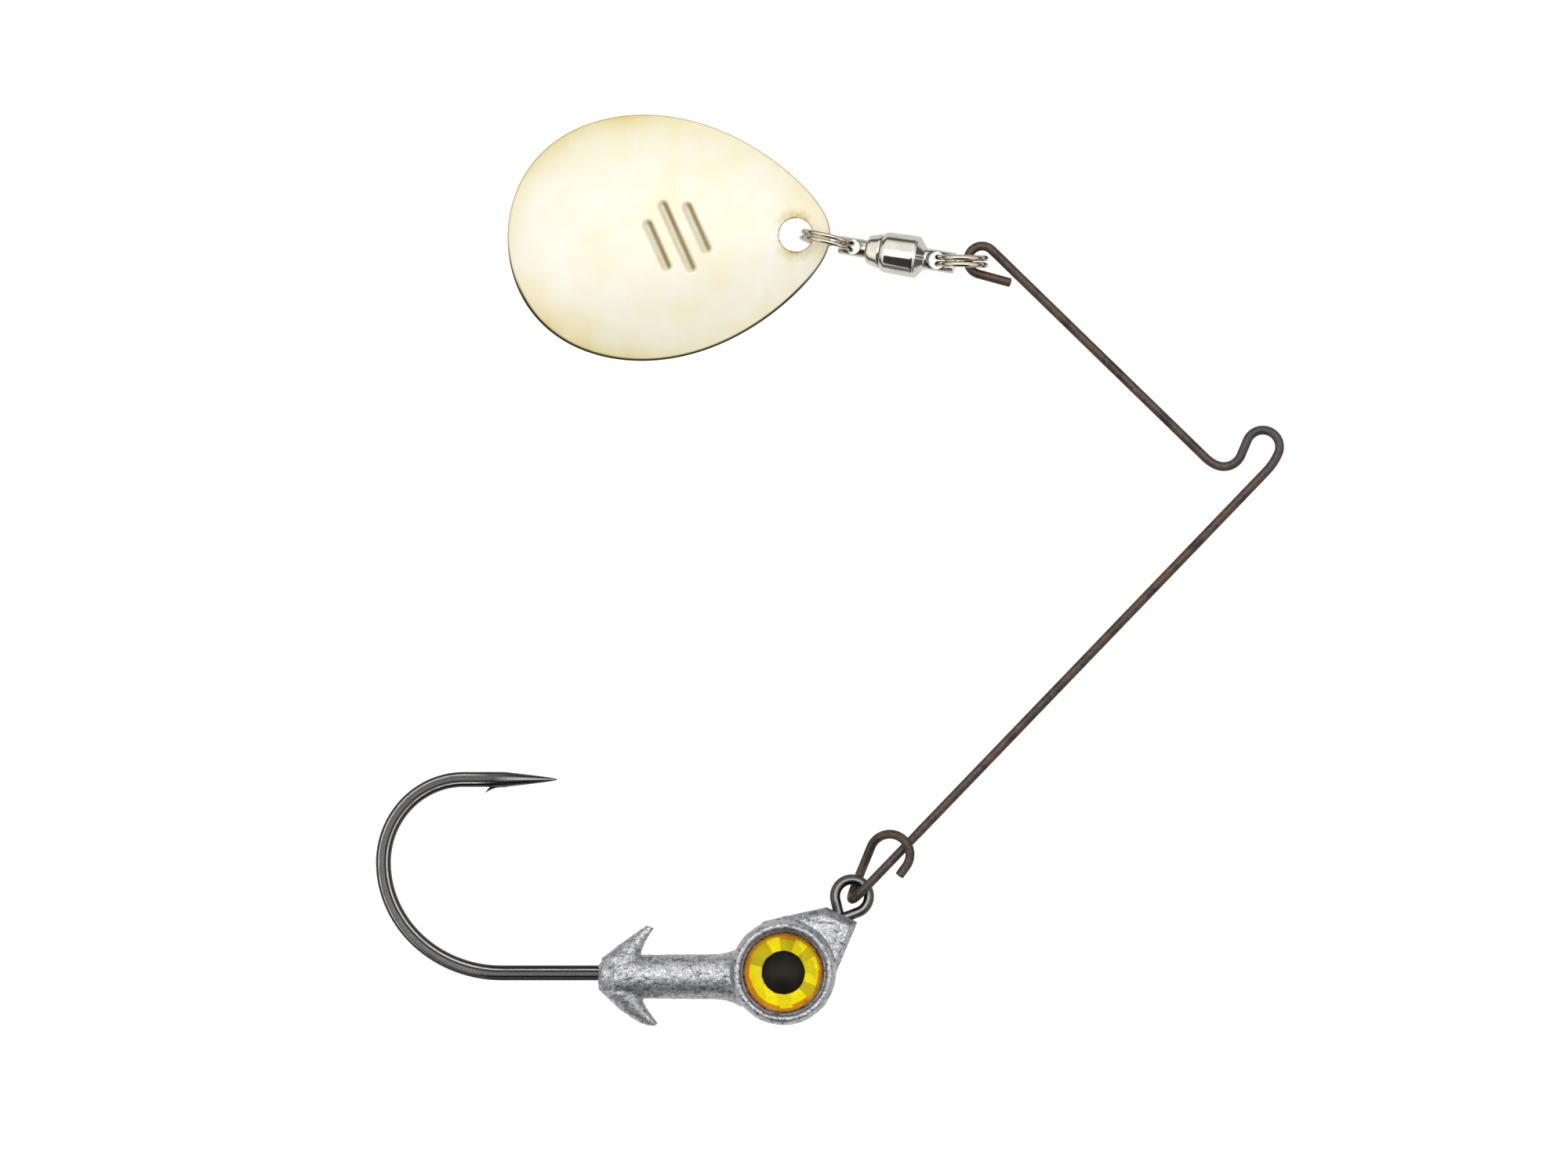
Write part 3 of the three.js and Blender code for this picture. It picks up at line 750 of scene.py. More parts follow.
HOOK_STEP = 0.2
BARB_SPUR = {"root": -31.3, "heel": -32.6, "tip": -33.42, "depth": 1.34, "width": 0.36, "height": 0.3}
SPUR_CURVE = {"sunk": 0.55, "heel_drop": 0.12, "handle": 0.7, "power": 1.4, "blunt": 0.04, "step": 0.1}
SPUR_SHADE = 0.23  # the painted shade that the barb takes: the darkest place across the wire


def ellipse_quarter(x, y, across, up, start):
    """Clockwise quarter of an upright ellipse about (x, y), from an angle in degrees."""
    quarter = arc(Vector(), 1, start, start - 90, 40)
    return [Vector((x + across * p.x, y + up * p.y, MID_Z)) for p in quarter]


def eye_loop():
    """The open loop at the hook's front: its cut end, round the ring, and down its stem."""
    first, last = EYE_LOOP["end_side"], EYE_LOOP["stem_side"]
    ring = arc(Vector((*EYE_RING.xy, MID_Z)), EYE_LOOP["radius"], first, last, 60)
    into_stem = heading_vector(last + 90)
    end = ring[0] - heading_vector(first + 90) * EYE_LOOP["end"] + Vector((0, 0, EYE_CLIMB["end"]))
    stem = ring[-1] + into_stem * EYE_LOOP["stem"] + Vector((0, 0, EYE_CLIMB["stem"]))
    return [end, *ring, stem], into_stem


def hook_path():
    """Centre line of the hook, from the cut end of its eye to its point."""
    loop, into_stem = eye_loop()
    shank_y = HEAD.y + HOOK["shank"]
    shank = Vector((IN_LEAD["shank"], shank_y, MID_Z))
    stem_handle = loop[-1] + into_stem * IN_LEAD["stem_handle"]
    shank_handle = shank + Vector((IN_LEAD["shank_handle"], 0, 0))
    in_lead = bezier(loop[-1], stem_handle, shank_handle, shank, 16)
    left, middle_y, upper_x = HOOK_BEND["left"], HOOK_BEND["middle"], HOOK_BEND["upper"]
    lower = ellipse_quarter(HOOK["bend"], middle_y, HOOK["bend"] - left, middle_y - shank_y, -90)
    upper = ellipse_quarter(upper_x, middle_y, upper_x - left, HOOK["spear"] - middle_y, 180)
    point = Vector((HOOK_POINT["tip"], HOOK["spear"], MID_Z))
    return even([*loop, *in_lead[1:], *lower, *upper[1:], point], HOOK_STEP)


def hook_radius(path):
    """Wire radius along the hook: thin at the eye, full on the shank, and drawn to a point."""
    distance = lengths(path)
    total = distance[-1]
    thin_end = 4 * EYE_LOOP["radius"] + EYE_LOOP["stem"] + EYE_WIRE["beyond_stem"]
    point_length = HOOK_POINT["tip"] - HOOK_POINT["taper"]
    radii = []
    for along in distance:
        thickened = smooth(thin_end, thin_end + EYE_WIRE["thickening"], along)
        wire = lerp(EYE_LOOP["wire"], HOOK["radius"], thickened)
        left = min(1, (total - along) / point_length)
        radii.append(wire * lerp(HOOK_POINT["blunt"], 1, left ** HOOK_POINT["power"]))
    return radii


def hook_flatness(path):
    """How far the dies pressed the wire: most round the bend, and nothing near the point."""
    shares = []
    for place in path:
        if place.x > HOOK["bend"] and place.y < MIDDLE_OF_GAP:
            shares.append(HOOK_FLAT["shank"] * smooth(*HOOK_FLAT["growing"], place.x))
        else:
            near_point = smooth(*HOOK_FLAT["fading"], place.x) if place.y > MIDDLE_OF_GAP else 0
            into_bend = smooth(HOOK["bend"], HOOK["bend"] - HOOK_FLAT["into_bend"], place.x)
            shares.append(lerp(HOOK_FLAT["shank"], HOOK_FLAT["bend"], into_bend) * (1 - near_point))
    return shares


def spur():
    """The barb: a sliver cut up from the inside of the spear."""
    outer = HOOK["spear"] - HOOK["radius"] * SPUR_CURVE["sunk"]
    root = Vector((BARB_SPUR["root"], outer, MID_Z))
    heel = Vector((BARB_SPUR["heel"], outer - SPUR_CURVE["heel_drop"], MID_Z))
    tip = Vector((BARB_SPUR["tip"], HOOK["spear"] - BARB_SPUR["depth"], MID_Z))
    handle = root.lerp(heel, SPUR_CURVE["handle"])
    path = even(bezier(root, handle, heel, tip, 16), SPUR_CURVE["step"])
    distance = lengths(path)
    tapers = [1 - (along / distance[-1]) ** SPUR_CURVE["power"] for along in distance]
    shares = [max(SPUR_CURVE["blunt"], taper) for taper in tapers]
    width, height = BARB_SPUR["width"], BARB_SPUR["height"]
    section = [(u * width, v * height) for u, v in round_section(1, 12)]
    sliver = sweep(path, lambda i: [(u * shares[i], v * shares[i]) for u, v in section])
    return add_piece("spur", *sliver)


def hook(path):
    radii = hook_radius(path)
    flats = hook_flatness(path)
    wire = add_piece("wire", *sweep(path, lambda i: round_section(radii[i], HOOK_SIDES, flats[i])))
    # where each vertex lies across the wire, for its painted highlights and painted shade
    store(wire, "across", [0.5 - 0.5 * cos(angle) for _ in path for angle in angles(HOOK_SIDES)])
    store(wire, "forged", [flat / HOOK_FLAT["bend"] for flat in flats for _ in range(HOOK_SIDES)])
    sliver = spur()
    store(sliver, "across", [SPUR_SHADE] * len(sliver.data.vertices))
    made = joined("forged_hook", [wire, sliver])
    keep_in_frame(made)
    shade(made, 60)
    settle(made, "jig", "hook_steel", hook_steel(), "hook")

# ---------------- eyes

FOIL = {"radius": 3.74, "iris": 3.36, "pupil": 2.1, "thickness": 0.16, "facets": 15}
FACET = {"uneven": 0.25, "lean": 0.05, "ink_overlap": 0.2, "inner_drop": 0.04, "outer_drop": 0.02}
FACET_REACH = (-0.16, 0.12)  # how far each facet falls short of the iris, or passes it
DIM_FACETS = {"far": 0.5, "near": 0.12}  # share of dim facets above the pupil and elsewhere
PUPIL = {"ragged": 0.035, "above": 0.03, "below": 0.06, "sides": 72}
DOME = {"radius": 3.74, "foot": 0.3, "height": 1.15, "chamfer": 0.05, "steps": 20}
FOIL_PAINTED_GLOW = 0.28  # painted light: how strongly the print glows in its own colour
FOIL_PRINTS = {
    "iris_foil": ((0.80, 0.71, 0.002), FOIL_PAINTED_GLOW),
    "dim_iris_foil": ((0.50, 0.43, 0.004), FOIL_PAINTED_GLOW),
    "amber_foil": ((0.66, 0.27, 0.005), FOIL_PAINTED_GLOW / 2),
}
IRIS_SLOT, DIM_SLOT, RIM_SLOT, INK_SLOT = range(4)


def foil_level(name, side):
    """Height of a foil's printed face over the middle of the head."""
    return (middle(f"eye_foil_{name}").z - MID_Z) * side + FOIL["thickness"] / 2


def foil_disc(name, side, seed):
    """Faceted foil: a ring of tilted iris facets inside a flat amber rim."""
    pick = random.Random(seed)
    count = FOIL["facets"]
    top = foil_level(name, side)
    uneven = FACET["uneven"]
    starts = [2 * pi * (k + pick.uniform(-uneven, uneven)) / count for k in range(count)]
    starts.append(starts[0] + 2 * pi)
    shape = bmesh.new()

    def face(slot, *corners):
        """A face of one material slot, from (radius, angle, height) corners."""
        places = ((HEAD.x + r * cos(a), HEAD.y + r * sin(a), MID_Z + side * z) for r, a, z in corners)
        shape.faces.new([shape.verts.new(Vector(place) * MM) for place in places]).material_index = slot

    for start, end in zip(starts, starts[1:]):
        facet(face, start, end, top, pick)
    face(RIM_SLOT, *((FOIL["radius"], angle, top - FOIL["thickness"] * 0.9) for angle in angles(60)))
    bmesh.ops.recalc_face_normals(shape, faces=shape.faces)
    return from_shape(f"foil_{name}", shape)


def facet(face, start, end, top, pick):
    """One iris facet with its own small tilt, the ink inside it and the amber rim outside it."""
    steps = 4
    lean = pick.uniform(-1, 1) * FACET["lean"]
    reach = FOIL["iris"] + pick.uniform(*FACET_REACH)
    dim = pick.random() < DIM_FACETS["far" if sin(start) > 0.2 else "near"]
    inner, rim = FOIL["pupil"] - FACET["ink_overlap"], FOIL["radius"]
    low, high = top - FACET["inner_drop"], top - FACET["outer_drop"]
    for step in range(steps):
        a, b = (lerp(start, end, (step + i) / steps) for i in (0, 1))
        up_a, up_b = (lean * (step + i - steps / 2) / steps for i in (0, 1))
        face(INK_SLOT, (0, a, low), (inner, a, low), (inner, b, low))
        near_a, far_a = (inner, a, low + up_a), (reach, a, high + up_a)
        near_b, far_b = (inner, b, low + up_b), (reach, b, high + up_b)
        face(DIM_SLOT if dim else IRIS_SLOT, near_a, far_a, far_b, near_b)
        face(RIM_SLOT, (reach, a, top), (rim, a, top), (rim, b, top), (reach, b, top))


def pupil(name, side, seed):
    """The printed pupil, a thin disc with a slightly ragged edge."""
    pick = random.Random(seed)
    level = foil_level(name, side)
    high, low = side * (level + PUPIL["above"]), side * (level - PUPIL["below"])
    ragged = PUPIL["ragged"]
    around = [(angle, FOIL["pupil"] + pick.uniform(-ragged, ragged)) for angle in angles(PUPIL["sides"])]
    edges = [[(r * cos(a), r * sin(a), height) for a, r in around] for height in (high, low)]
    disc = loft([[(0, 0, high)], *edges, [(0, 0, low)]])
    return add_piece(f"pupil_{name}", *disc, Matrix.Translation(HEAD))


def dome(name, side):
    """The clear cap: a foot in the socket and a shallow crown."""
    low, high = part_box(f"eye_dome_{name}")
    foot = ((low.z if side > 0 else high.z) / MM - MID_Z) * side
    radius, edge, height = DOME["radius"], DOME["foot"], DOME["height"]
    chamfer, steps = DOME["chamfer"], DOME["steps"]
    profile = [(foot, 0), (foot, radius - chamfer), (foot + chamfer, radius), (foot + edge, radius)]
    for step in range(1, steps):
        angle = radians(90 * step / steps)
        profile.append((foot + edge + (height - edge) * sin(angle), radius * cos(angle)))
    profile.append((foot + height, 0))
    place = Matrix.Translation(HEAD) @ turned_by("Y", -90 * side)
    return add_piece(f"dome_{name}", *turn(profile, 72), place)


def eyes():
    prints = [foil(name, color, painted_glow) for name, (color, painted_glow) in FOIL_PRINTS.items()]
    ink = pupil_ink()
    resin = clear_resin()
    for seed, (name, side) in enumerate((("upper", 1), ("lower", -1))):
        settle(foil_disc(name, side, seed), "jig", "eye_foil", [*prints, ink], f"eye_foil_{name}")
        settle(pupil(name, side, seed), "jig", "eye_foil", ink)
        settle(dome(name, side), "jig", "eye_resin", resin, f"eye_dome_{name}")

# ---------------- wire arm

ARM = {"radius": 0.45, "above": 1.06, "clip_above": 2.06, "step": 0.22}
ARM_START = {"x": 1.45, "y": 0.99, "heading": 46.1, "handle": 2.55}
LOWER_ARM = 55.8
LINE_TIE = {"approach": 6, "approach_turn": 19.6, "loop": 1.63, "loop_turn": 181.4, "cross": 1.56}
LINE_TIE_EXIT = {"reverse": 1.81, "reverse_turn": -90.1, "ease": 3.4, "ease_turn": -21.2}
UPPER_ARM = 28.9
TOP_LOOP = {"radius": 1.38, "turn": 209, "tail": 3.3}
CLIP = {"x": 0.56, "y": 1.62, "heading": 67.9, "leg": 3.45, "level": 0.9, "lift": 0.9, "radius": 1.95}
CLIP_OVER = {"rise": 132, "fall": 62, "tail": 1.2}
PRESSED = {"wide": 1.07, "flat": 0.12, "full": 4, "end": 9}  # the arm next to the hook's eye
WIRE_END = 0.12
ARM_SIDES = 24
BLUED = {"reach": 9, "strength": 0.7, "past_lower_arm": 5}
RUSTY = {"reach": 1.6, "strength": 0.35, "from_clip_end": 6.2, "from_loop_end": 2.2}


def clip_route():
    """The clip: from behind the hook's eye up, over the arm and down in front of it."""
    route = Route(EYE_RING + Vector((CLIP["x"], CLIP["y"], -ARM["above"])), CLIP["heading"])
    climb = ARM["clip_above"] + ARM["above"] - CLIP["lift"]
    route.straight(CLIP["level"]).straight(CLIP["leg"] - CLIP["level"], CLIP["lift"])
    route.bend(CLIP["radius"], -CLIP_OVER["rise"], climb).bend(CLIP["radius"], -CLIP_OVER["fall"])
    return route.straight(CLIP_OVER["tail"]).points


def arm_route():
    """The arm: from in front of the hook's eye, round the line tie, to the end of the top loop."""
    start = EYE_RING + Vector((ARM_START["x"], ARM_START["y"], ARM["above"]))
    route = Route(start, ARM_START["heading"])
    route.straight(LOWER_ARM).bend(LINE_TIE["approach"], LINE_TIE["approach_turn"])
    route.bend(LINE_TIE["loop"], LINE_TIE["loop_turn"]).straight(LINE_TIE["cross"])
    route.bend(LINE_TIE_EXIT["reverse"], LINE_TIE_EXIT["reverse_turn"])
    route.bend(LINE_TIE_EXIT["ease"], LINE_TIE_EXIT["ease_turn"]).straight(UPPER_ARM)
    return route.bend(TOP_LOOP["radius"], TOP_LOOP["turn"]).straight(TOP_LOOP["tail"]).points


def through_eye(arm, clip):
    """The half turn through the hook's eye, from the clip's leg below to the arm above."""
    handle = ARM_START["handle"]
    below = clip - heading_vector(CLIP["heading"]) * handle
    above = arm - heading_vector(ARM_START["heading"]) * handle
    return bezier(clip, below, above, arm, 24)[1:-1]


def wire_arm():
    clip, arm = clip_route(), arm_route()
    before_arm = [*reversed(clip), *through_eye(arm[0], clip[0])]
    path = blunt_ends(even([*before_arm, *arm], ARM["step"]), WIRE_END)
    distance = lengths(path)
    eye_at = lengths([*before_arm, arm[0]])[-1]
    total = distance[-1]

    def section(index):
        beyond = distance[index] - eye_at
        pressed = smooth(-1, 1, beyond) * smooth(PRESSED["end"], PRESSED["full"], beyond)
        radius = ARM["radius"] * end_scale(distance[index], total, WIRE_END)
        wide = lerp(1, PRESSED["wide"], pressed)
        return round_section(radius, ARM_SIDES, PRESSED["flat"] * pressed, wide)

    def near(mark, *places):
        """Strength of a mark that fades away from places along the wire, for each vertex."""
        reach, strength = mark["reach"], mark["strength"]
        shares = [max(0, *(1 - abs(d - place) / reach for place in places)) for d in distance]
        return [strength * share for share in shares for _ in range(ARM_SIDES)]

    made = add_piece("spinner_arm", *sweep(path, section))
    keep_in_frame(made)
    store(made, "blued", near(BLUED, eye_at + LOWER_ARM + BLUED["past_lower_arm"]))
    store(made, "rusty", near(RUSTY, RUSTY["from_clip_end"], total - RUSTY["from_loop_end"]))
    settle(made, "arm", "arm_wire", arm_wire(), "wire_arm")

# ---------------- split rings

ARM_RING = {"outer": 5.26, "wire": 0.59, "pitch": 0.64, "turn": -1.5, "lean": 0, "from_hole": 2.4}
BLADE_RING = {"outer": 5.46, "wire": 0.49, "pitch": 0.59, "turn": -13.2, "lean": -6, "from_hole": -2.62}
RING_CROSSING = 26  # degrees each side of the place where the wire steps over
RING_STEPS = 240
RING_END = 0.1
RING_SIDES = 20
RING_FLAT = 0.08


def split_ring(name, body, ring, hole, node, paint):
    """Two turns of wire side by side, with one step over at the bottom."""
    radius = (ring["outer"] - ring["wire"]) / 2
    path = []
    for step in range(RING_STEPS + 1):
        turned = lerp(RING_CROSSING, 720 - RING_CROSSING, step / RING_STEPS)
        across = smooth(360 - RING_CROSSING, 360 + RING_CROSSING, turned) - 0.5
        angle = radians(turned - 90)
        path.append(Vector((radius * cos(angle), across * ring["pitch"], radius * sin(angle))))
    path = blunt_ends(path, RING_END)
    distance = lengths(path)
    place = axes(hole, Vector((0, 1, 0)).cross(HOLE_AXIS), HOLE_AXIS) @ turned_by("Z", ring["turn"])
    place = place @ Matrix.Translation((ring["from_hole"], 0, 0)) @ turned_by("X", ring["lean"])

    def section(index):
        radius = ring["wire"] / 2 * end_scale(distance[index], distance[-1], RING_END)
        return round_section(radius, RING_SIDES, RING_FLAT)

    made = add_piece(name, *sweep(path, section, up=(0, 1, 0)), place)
    settle(made, body, "nickel_plate", paint, node)

# ---------------- swivel, along X from the rotor's hole

HOLE_SPAN = (BARREL_HOLE - ROTOR_HOLE).length
STUD = {"radius": 1.05, "hole": 0.85, "end": 10.1, "neck": 7.2, "flat": 0.88}
SHELL = {"start": 2.86, "shoulder": 3.3, "end": 6.4, "groove": 6.2, "floor": 5.75}
SHELL_RADIUS = {"start": 1.78, "full": 2.06, "bore": 1.52}
CAP = {"start": 1.45, "seam": 2.8, "spigot": 3.4}
CAP_RADIUS = {"start": 1.32, "full": 1.68, "bore": 0.64, "fit": 1.47}
ROTOR = {"radius": 0.9, "hole": 0.72, "flat": 0.8, "end": -1.35, "body": 1.34, "neck": 0.55}
FLANGE = {"start": 4.2, "thickness": 0.5, "radius": 1.42, "pin": 0.38, "pin_end": 5.6}
BALL = {"count": 8, "radius": 0.36}
WASHER = {"start": 4.8, "thickness": 0.35, "radius": 1.42, "bore": 0.46}
HOLE_FLARE = 0.14
HOLE_MOUTH = (0.6, 0.95, 3)  # heights at which a flare begins, ends, and is clear of the stud
# painted shade: how dark the flared hole mouths are painted
HOLE_MOUTH_SHADE = 0.85
STUD_EASE = 0.05
WASHER_EASE = 0.04
SWIVEL_SIDES = 96
HOLE_SIDES = 64
SWIVEL_PLACE = axes(ROTOR_HOLE, SPIN_AXIS, HOLE_AXIS)


def cross_hole(place, radius):
    """A tool for a round hole along Z, flared at both mouths."""
    flare = radius + HOLE_FLARE
    begin, end, clear = HOLE_MOUTH
    mouth = [(begin, radius), (end, flare), (clear, flare), (clear, 0)]
    profile = [(-x, r) for x, r in reversed(mouth)] + mouth
    across = SWIVEL_PLACE @ Matrix.Translation((place, 0, 0)) @ turned_by("Y", -90)
    return add_piece("hole", *turn(profile, HOLE_SIDES), across)


def store_hole_mouth_shade(made, place, radius):
    """Marks the flared mouths of a cross hole, where the plate is darkened as painted shade."""
    inverse = SWIVEL_PLACE.inverted()
    hole_mouth_shade = []
    for vertex in made.data.vertices:
        x, y, _ = inverse @ (vertex.co / MM)
        in_flared_mouth = hypot(x - place, y) < radius + HOLE_FLARE + 0.01
        hole_mouth_shade.append(HOLE_MOUTH_SHADE if in_flared_mouth else 0)
    store(made, "hole_mouth_shade", hole_mouth_shade)


def flat_tool(place, length, height, side):
    """A block that planes one side of a stud flat."""
    shape = bmesh.new()
    bmesh.ops.create_cube(shape, size=1)
    size = Matrix.Diagonal((length, 6, 2, 1))
    shape.transform(SWIVEL_PLACE @ Matrix.Translation((place, 0, side * (height + 1))) @ size)
    shape.transform(Matrix.Scale(MM, 4))
    return from_shape("flat", shape)


def turned_part(name, profile, closed=False):
    return add_piece(name, *turn(profile, SWIVEL_SIDES, closed), SWIVEL_PLACE)


def flat_end(made, start, length, end, place):
    """Planes a stud's end flat on both sides, drills its hole and paints shade into the hole's mouths."""
    planes = [flat_tool(start, length, end["flat"], side) for side in (1, -1)]
    cut(made, *planes, cross_hole(place, end["hole"]))
    ease_edges(made, STUD_EASE)
    store_hole_mouth_shade(made, place, end["hole"])


def swivel_shell(paint):
    full, groove, start = SHELL_RADIUS["full"], SHELL["groove"], SHELL["start"]
    neck, end, stud = STUD["neck"], STUD["end"], STUD["radius"]
    outside = [
        (SHELL["floor"], SHELL_RADIUS["bore"]), (start, SHELL_RADIUS["bore"]),
        (start, SHELL_RADIUS["start"]), (SHELL["shoulder"], full - 0.08),
        (groove - 0.12, full), (groove, full - 0.06), (groove + 0.12, full), (SHELL["end"], full - 0.02),
        (neck - 0.05, 1.12), (neck + 0.1, stud), (end, stud), (end, 0),
    ]
    made = turned_part("swivel_shell", [(SHELL["floor"], 0), *round_corners(outside, 0.12)])
    flat_end(made, HOLE_SPAN + 0.6, 2.6, STUD, HOLE_SPAN)
    settle(made, "swivel_body", "nickel_plate", paint, "swivel_barrel")


def swivel_cap(paint):
    start, seam, spigot = CAP["start"], CAP["seam"], CAP["spigot"]
    small, full, bore, fit = (CAP_RADIUS[key] for key in ("start", "full", "bore", "fit"))
    corners = [
        (spigot, bore), (start, bore), (start, small), (start + 0.3, small + 0.12), (seam - 0.18, full),
        (seam, full - 0.04), (seam, fit), (spigot, fit), (spigot, bore),
    ]
    made = turned_part("swivel_cap", round_corners(corners, 0.1)[:-1], closed=True)
    settle(made, "swivel_body", "nickel_plate", paint, "swivel_end_cap")


def swivel_rotor(paint):
    end, body, neck = ROTOR["end"], ROTOR["body"], ROTOR["neck"]
    flange, wide, pin = FLANGE["start"], FLANGE["radius"], FLANGE["pin"]
    behind = flange + FLANGE["thickness"]
    corners = [
        (end, 0), (end, ROTOR["radius"]), (body, ROTOR["radius"]), (body + 0.05, neck), (flange, neck),
        (flange, wide), (behind, wide), (behind, pin), (FLANGE["pin_end"], pin), (FLANGE["pin_end"], 0),
    ]
    made = turned_part("swivel_stud", round_corners(corners, 0.1))
    flat_end(made, -0.35, 2.2, ROTOR, 0)
    settle(made, "rotor", "nickel_plate", paint, "swivel_rotor")


def swivel_inside():
    """The washer and the balls that the shell hides."""
    start, end = WASHER["start"], WASHER["start"] + WASHER["thickness"]
    inner, outer = WASHER["bore"], WASHER["radius"]
    corners = [(start, inner), (start, outer), (end, outer), (end, inner)]
    washer = turned_part("washer", corners, closed=True)
    ease_edges(washer, WASHER_EASE)
    nylon = plain("nylon", (0.75, 0.73, 0.66), 0.5)
    settle(washer, "swivel_body", "washer_plastic", nylon, "swivel_washer")
    steel = plain("ball_steel", (0.72, 0.72, 0.73), 0.12, metallic=1.0)
    for number in range(1, BALL["count"] + 1):
        node = f"swivel_ball_{number}"
        shape = bmesh.new()
        bmesh.ops.create_uvsphere(shape, u_segments=32, v_segments=20, radius=BALL["radius"] * MM)
        shape.transform(Matrix.Translation(middle(node) * MM))
        ball = from_shape(f"ball_{number}", shape)
        ball.data.shade_smooth()
        settle(ball, "ball_set", "ball_steel", steel, node)

# ---------------- blade

BLADE = {"half_length": 15.7, "half_width": 11.78, "thickness": 0.5, "dish": 2.5, "tilt": 2}
BLADE_TAPER = (1, -0.188, -0.071, -0.089)  # by powers of the place along the blade
BLADE_HOLE = {"x": 12.35, "radius": 1.62}
BLADE_LIP_AT = {"x": 14.8, "z": 0.57}  # the lip that the ring hangs by, in the blade's own frame
BLADE_RINGS = 90
BLADE_SECTORS = 240
RIM_ROUND = 0.18
RIM_STEPS = 8
DOME_POWER = 2.3  # how flat the dome's middle is
STAIN_REACH = 1.1
FLUTES = {
    "count": 3, "spacing": 2.1, "half_length": 3.9, "side_length": 0.72, "half_width": 0.6, "depth": 0.42,
}
FLUTES_MIDDLE = (0.8, 0)
FLUTES_ALONG = heading_vector(-67).xy
FLUTES_ACROSS = heading_vector(23).xy


def blade_place():
    """The blade's own frame: X to its tip, Z out of its dome."""
    level = BLADE_ACROSS.cross(Vector((0, 0, 1)))
    along = Matrix.Rotation(radians(-BLADE["tilt"]), 3, BLADE_ACROSS) @ level
    made = axes(BLADE_LIP, along, BLADE_ACROSS.cross(along) * -1)
    return made @ Matrix.Translation((-BLADE_LIP_AT["x"], 0, -BLADE_LIP_AT["z"]))


def flute_depth(x, y):
    """Depth of the pressed flutes: short parallel grooves with round ends, the outer ones shorter."""
    depth = 0
    for index in range(FLUTES["count"]):
        offset = (index - (FLUTES["count"] - 1) / 2) * FLUTES["spacing"]
        place = Vector((x, y)) - Vector(FLUTES_MIDDLE) - FLUTES_ACROSS * offset
        half = FLUTES["half_length"] * (1 if offset == 0 else FLUTES["side_length"])
        beyond = max(0, abs(place.dot(FLUTES_ALONG)) - half + FLUTES["half_width"])
        away = hypot(beyond, place.dot(FLUTES_ACROSS)) / FLUTES["half_width"]
        depth += FLUTES["depth"] * smooth(1, 0.15, away)
    return depth


def flute_wall(x, y):
    """How steeply a flute falls away from the light here: 1 on its shaded wall."""
    shift = FLUTES_ACROSS * FLUTES["half_width"] / 3
    fall = flute_depth(x - shift.x, y - shift.y) - flute_depth(x + shift.x, y + shift.y)
    return max(0, fall) / FLUTES["depth"]


def blade_width(c):
    """Half-width of the blade's outline, as a share, by the cosine of the angle round it."""
    return BLADE["half_width"] * sum(term * c ** power for power, term in enumerate(BLADE_TAPER))


def blade_point(share, angle, height):
    """A point of the sheet: share of the way to the rim, angle round it, height above its lower face."""
    c = cos(angle)
    x, y = share * BLADE["half_length"] * c, share * blade_width(c) * sin(angle)
    dome_height = BLADE["dish"] * (1 - min(1, share) ** DOME_POWER)
    return x, y, dome_height + height - flute_depth(x, y)


def blade_rings():
    """(share, height) of each ring of points: over the top, round the rim and back underneath."""
    thickness = BLADE["thickness"]
    inset = RIM_ROUND / BLADE["half_width"]
    shares = [(1 - inset) * ring / BLADE_RINGS for ring in range(1, BLADE_RINGS + 1)]
    rim = []
    for step in range(1, RIM_STEPS):
        angle = pi * step / RIM_STEPS
        rim.append((1 - inset + inset * sin(angle), thickness / 2 * (1 + cos(angle))))
    return [(share, thickness) for share in shares] + rim + [(share, 0) for share in reversed(shares)]


def blade_mesh():
    outlines = [[blade_point(0, 0, BLADE["thickness"])]]
    for share, height in blade_rings():
        outlines.append([blade_point(share, angle, height) for angle in angles(BLADE_SECTORS)])
    return loft([*outlines, [blade_point(0, 0, 0)]])


def blade_share(x, y):
    """How far out a place of the blade lies: 0 at its middle, 1 on its rim."""
    along = x / BLADE["half_length"]
    share = hypot(along, y / BLADE["half_width"])
    for _ in range(6):
        share = hypot(along, y / blade_width(max(-1, min(1, along / max(share, 1e-6)))))
    return share


def blade_marks(made, place):
    """Stores where the plate turns gold, where it is stained, where its edge is dark, with painted shade
    making that edge darker and wider towards the bottom, and the painted shade in the flutes.
    """
    inverse = place.inverted()
    marks = {"rim": [], "stain": [], "edge": [], "groove": []}
    for vertex in made.data.vertices:
        x, y, _ = inverse @ (vertex.co / MM)
        share = blade_share(x, y)
        slanting = smooth(0.25, 0.75, abs(y) / BLADE["half_width"]) * smooth(6, -4, x)
        marks["rim"].append(share ** 5 * lerp(0.45, 1, slanting))
        from_hole = hypot(x - BLADE_HOLE["x"], y)
        outside = from_hole - BLADE_HOLE["radius"]
        beside = abs(y) / max(0.01, from_hole)
        marks["stain"].append(max(0, 1 - outside / STAIN_REACH) * (0.1 + 0.8 * beside ** 2))
        # painted shade: the rim's dark line grows wider and darker towards the bottom of the blade
        lower = smooth(2, -6, y)
        inner, outer = lerp(0.009, 0.020, lower), lerp(0.004, 0.014, lower)
        shaded_rim_line = smooth(1 - inner, 1 - outer, share) * lerp(0.65, 1, lower)
        marks["edge"].append(max(shaded_rim_line, smooth(0.11, 0.05, outside) * 0.9))
        # painted shade in the flutes: a little in their hollows, most on the wall that falls away from
        # the light
        groove = 0.25 * flute_depth(x, y) / FLUTES["depth"] + 0.9 * flute_wall(x, y)
        marks["groove"].append(min(1, groove))
    for name, values in marks.items():
        store(made, name, values)


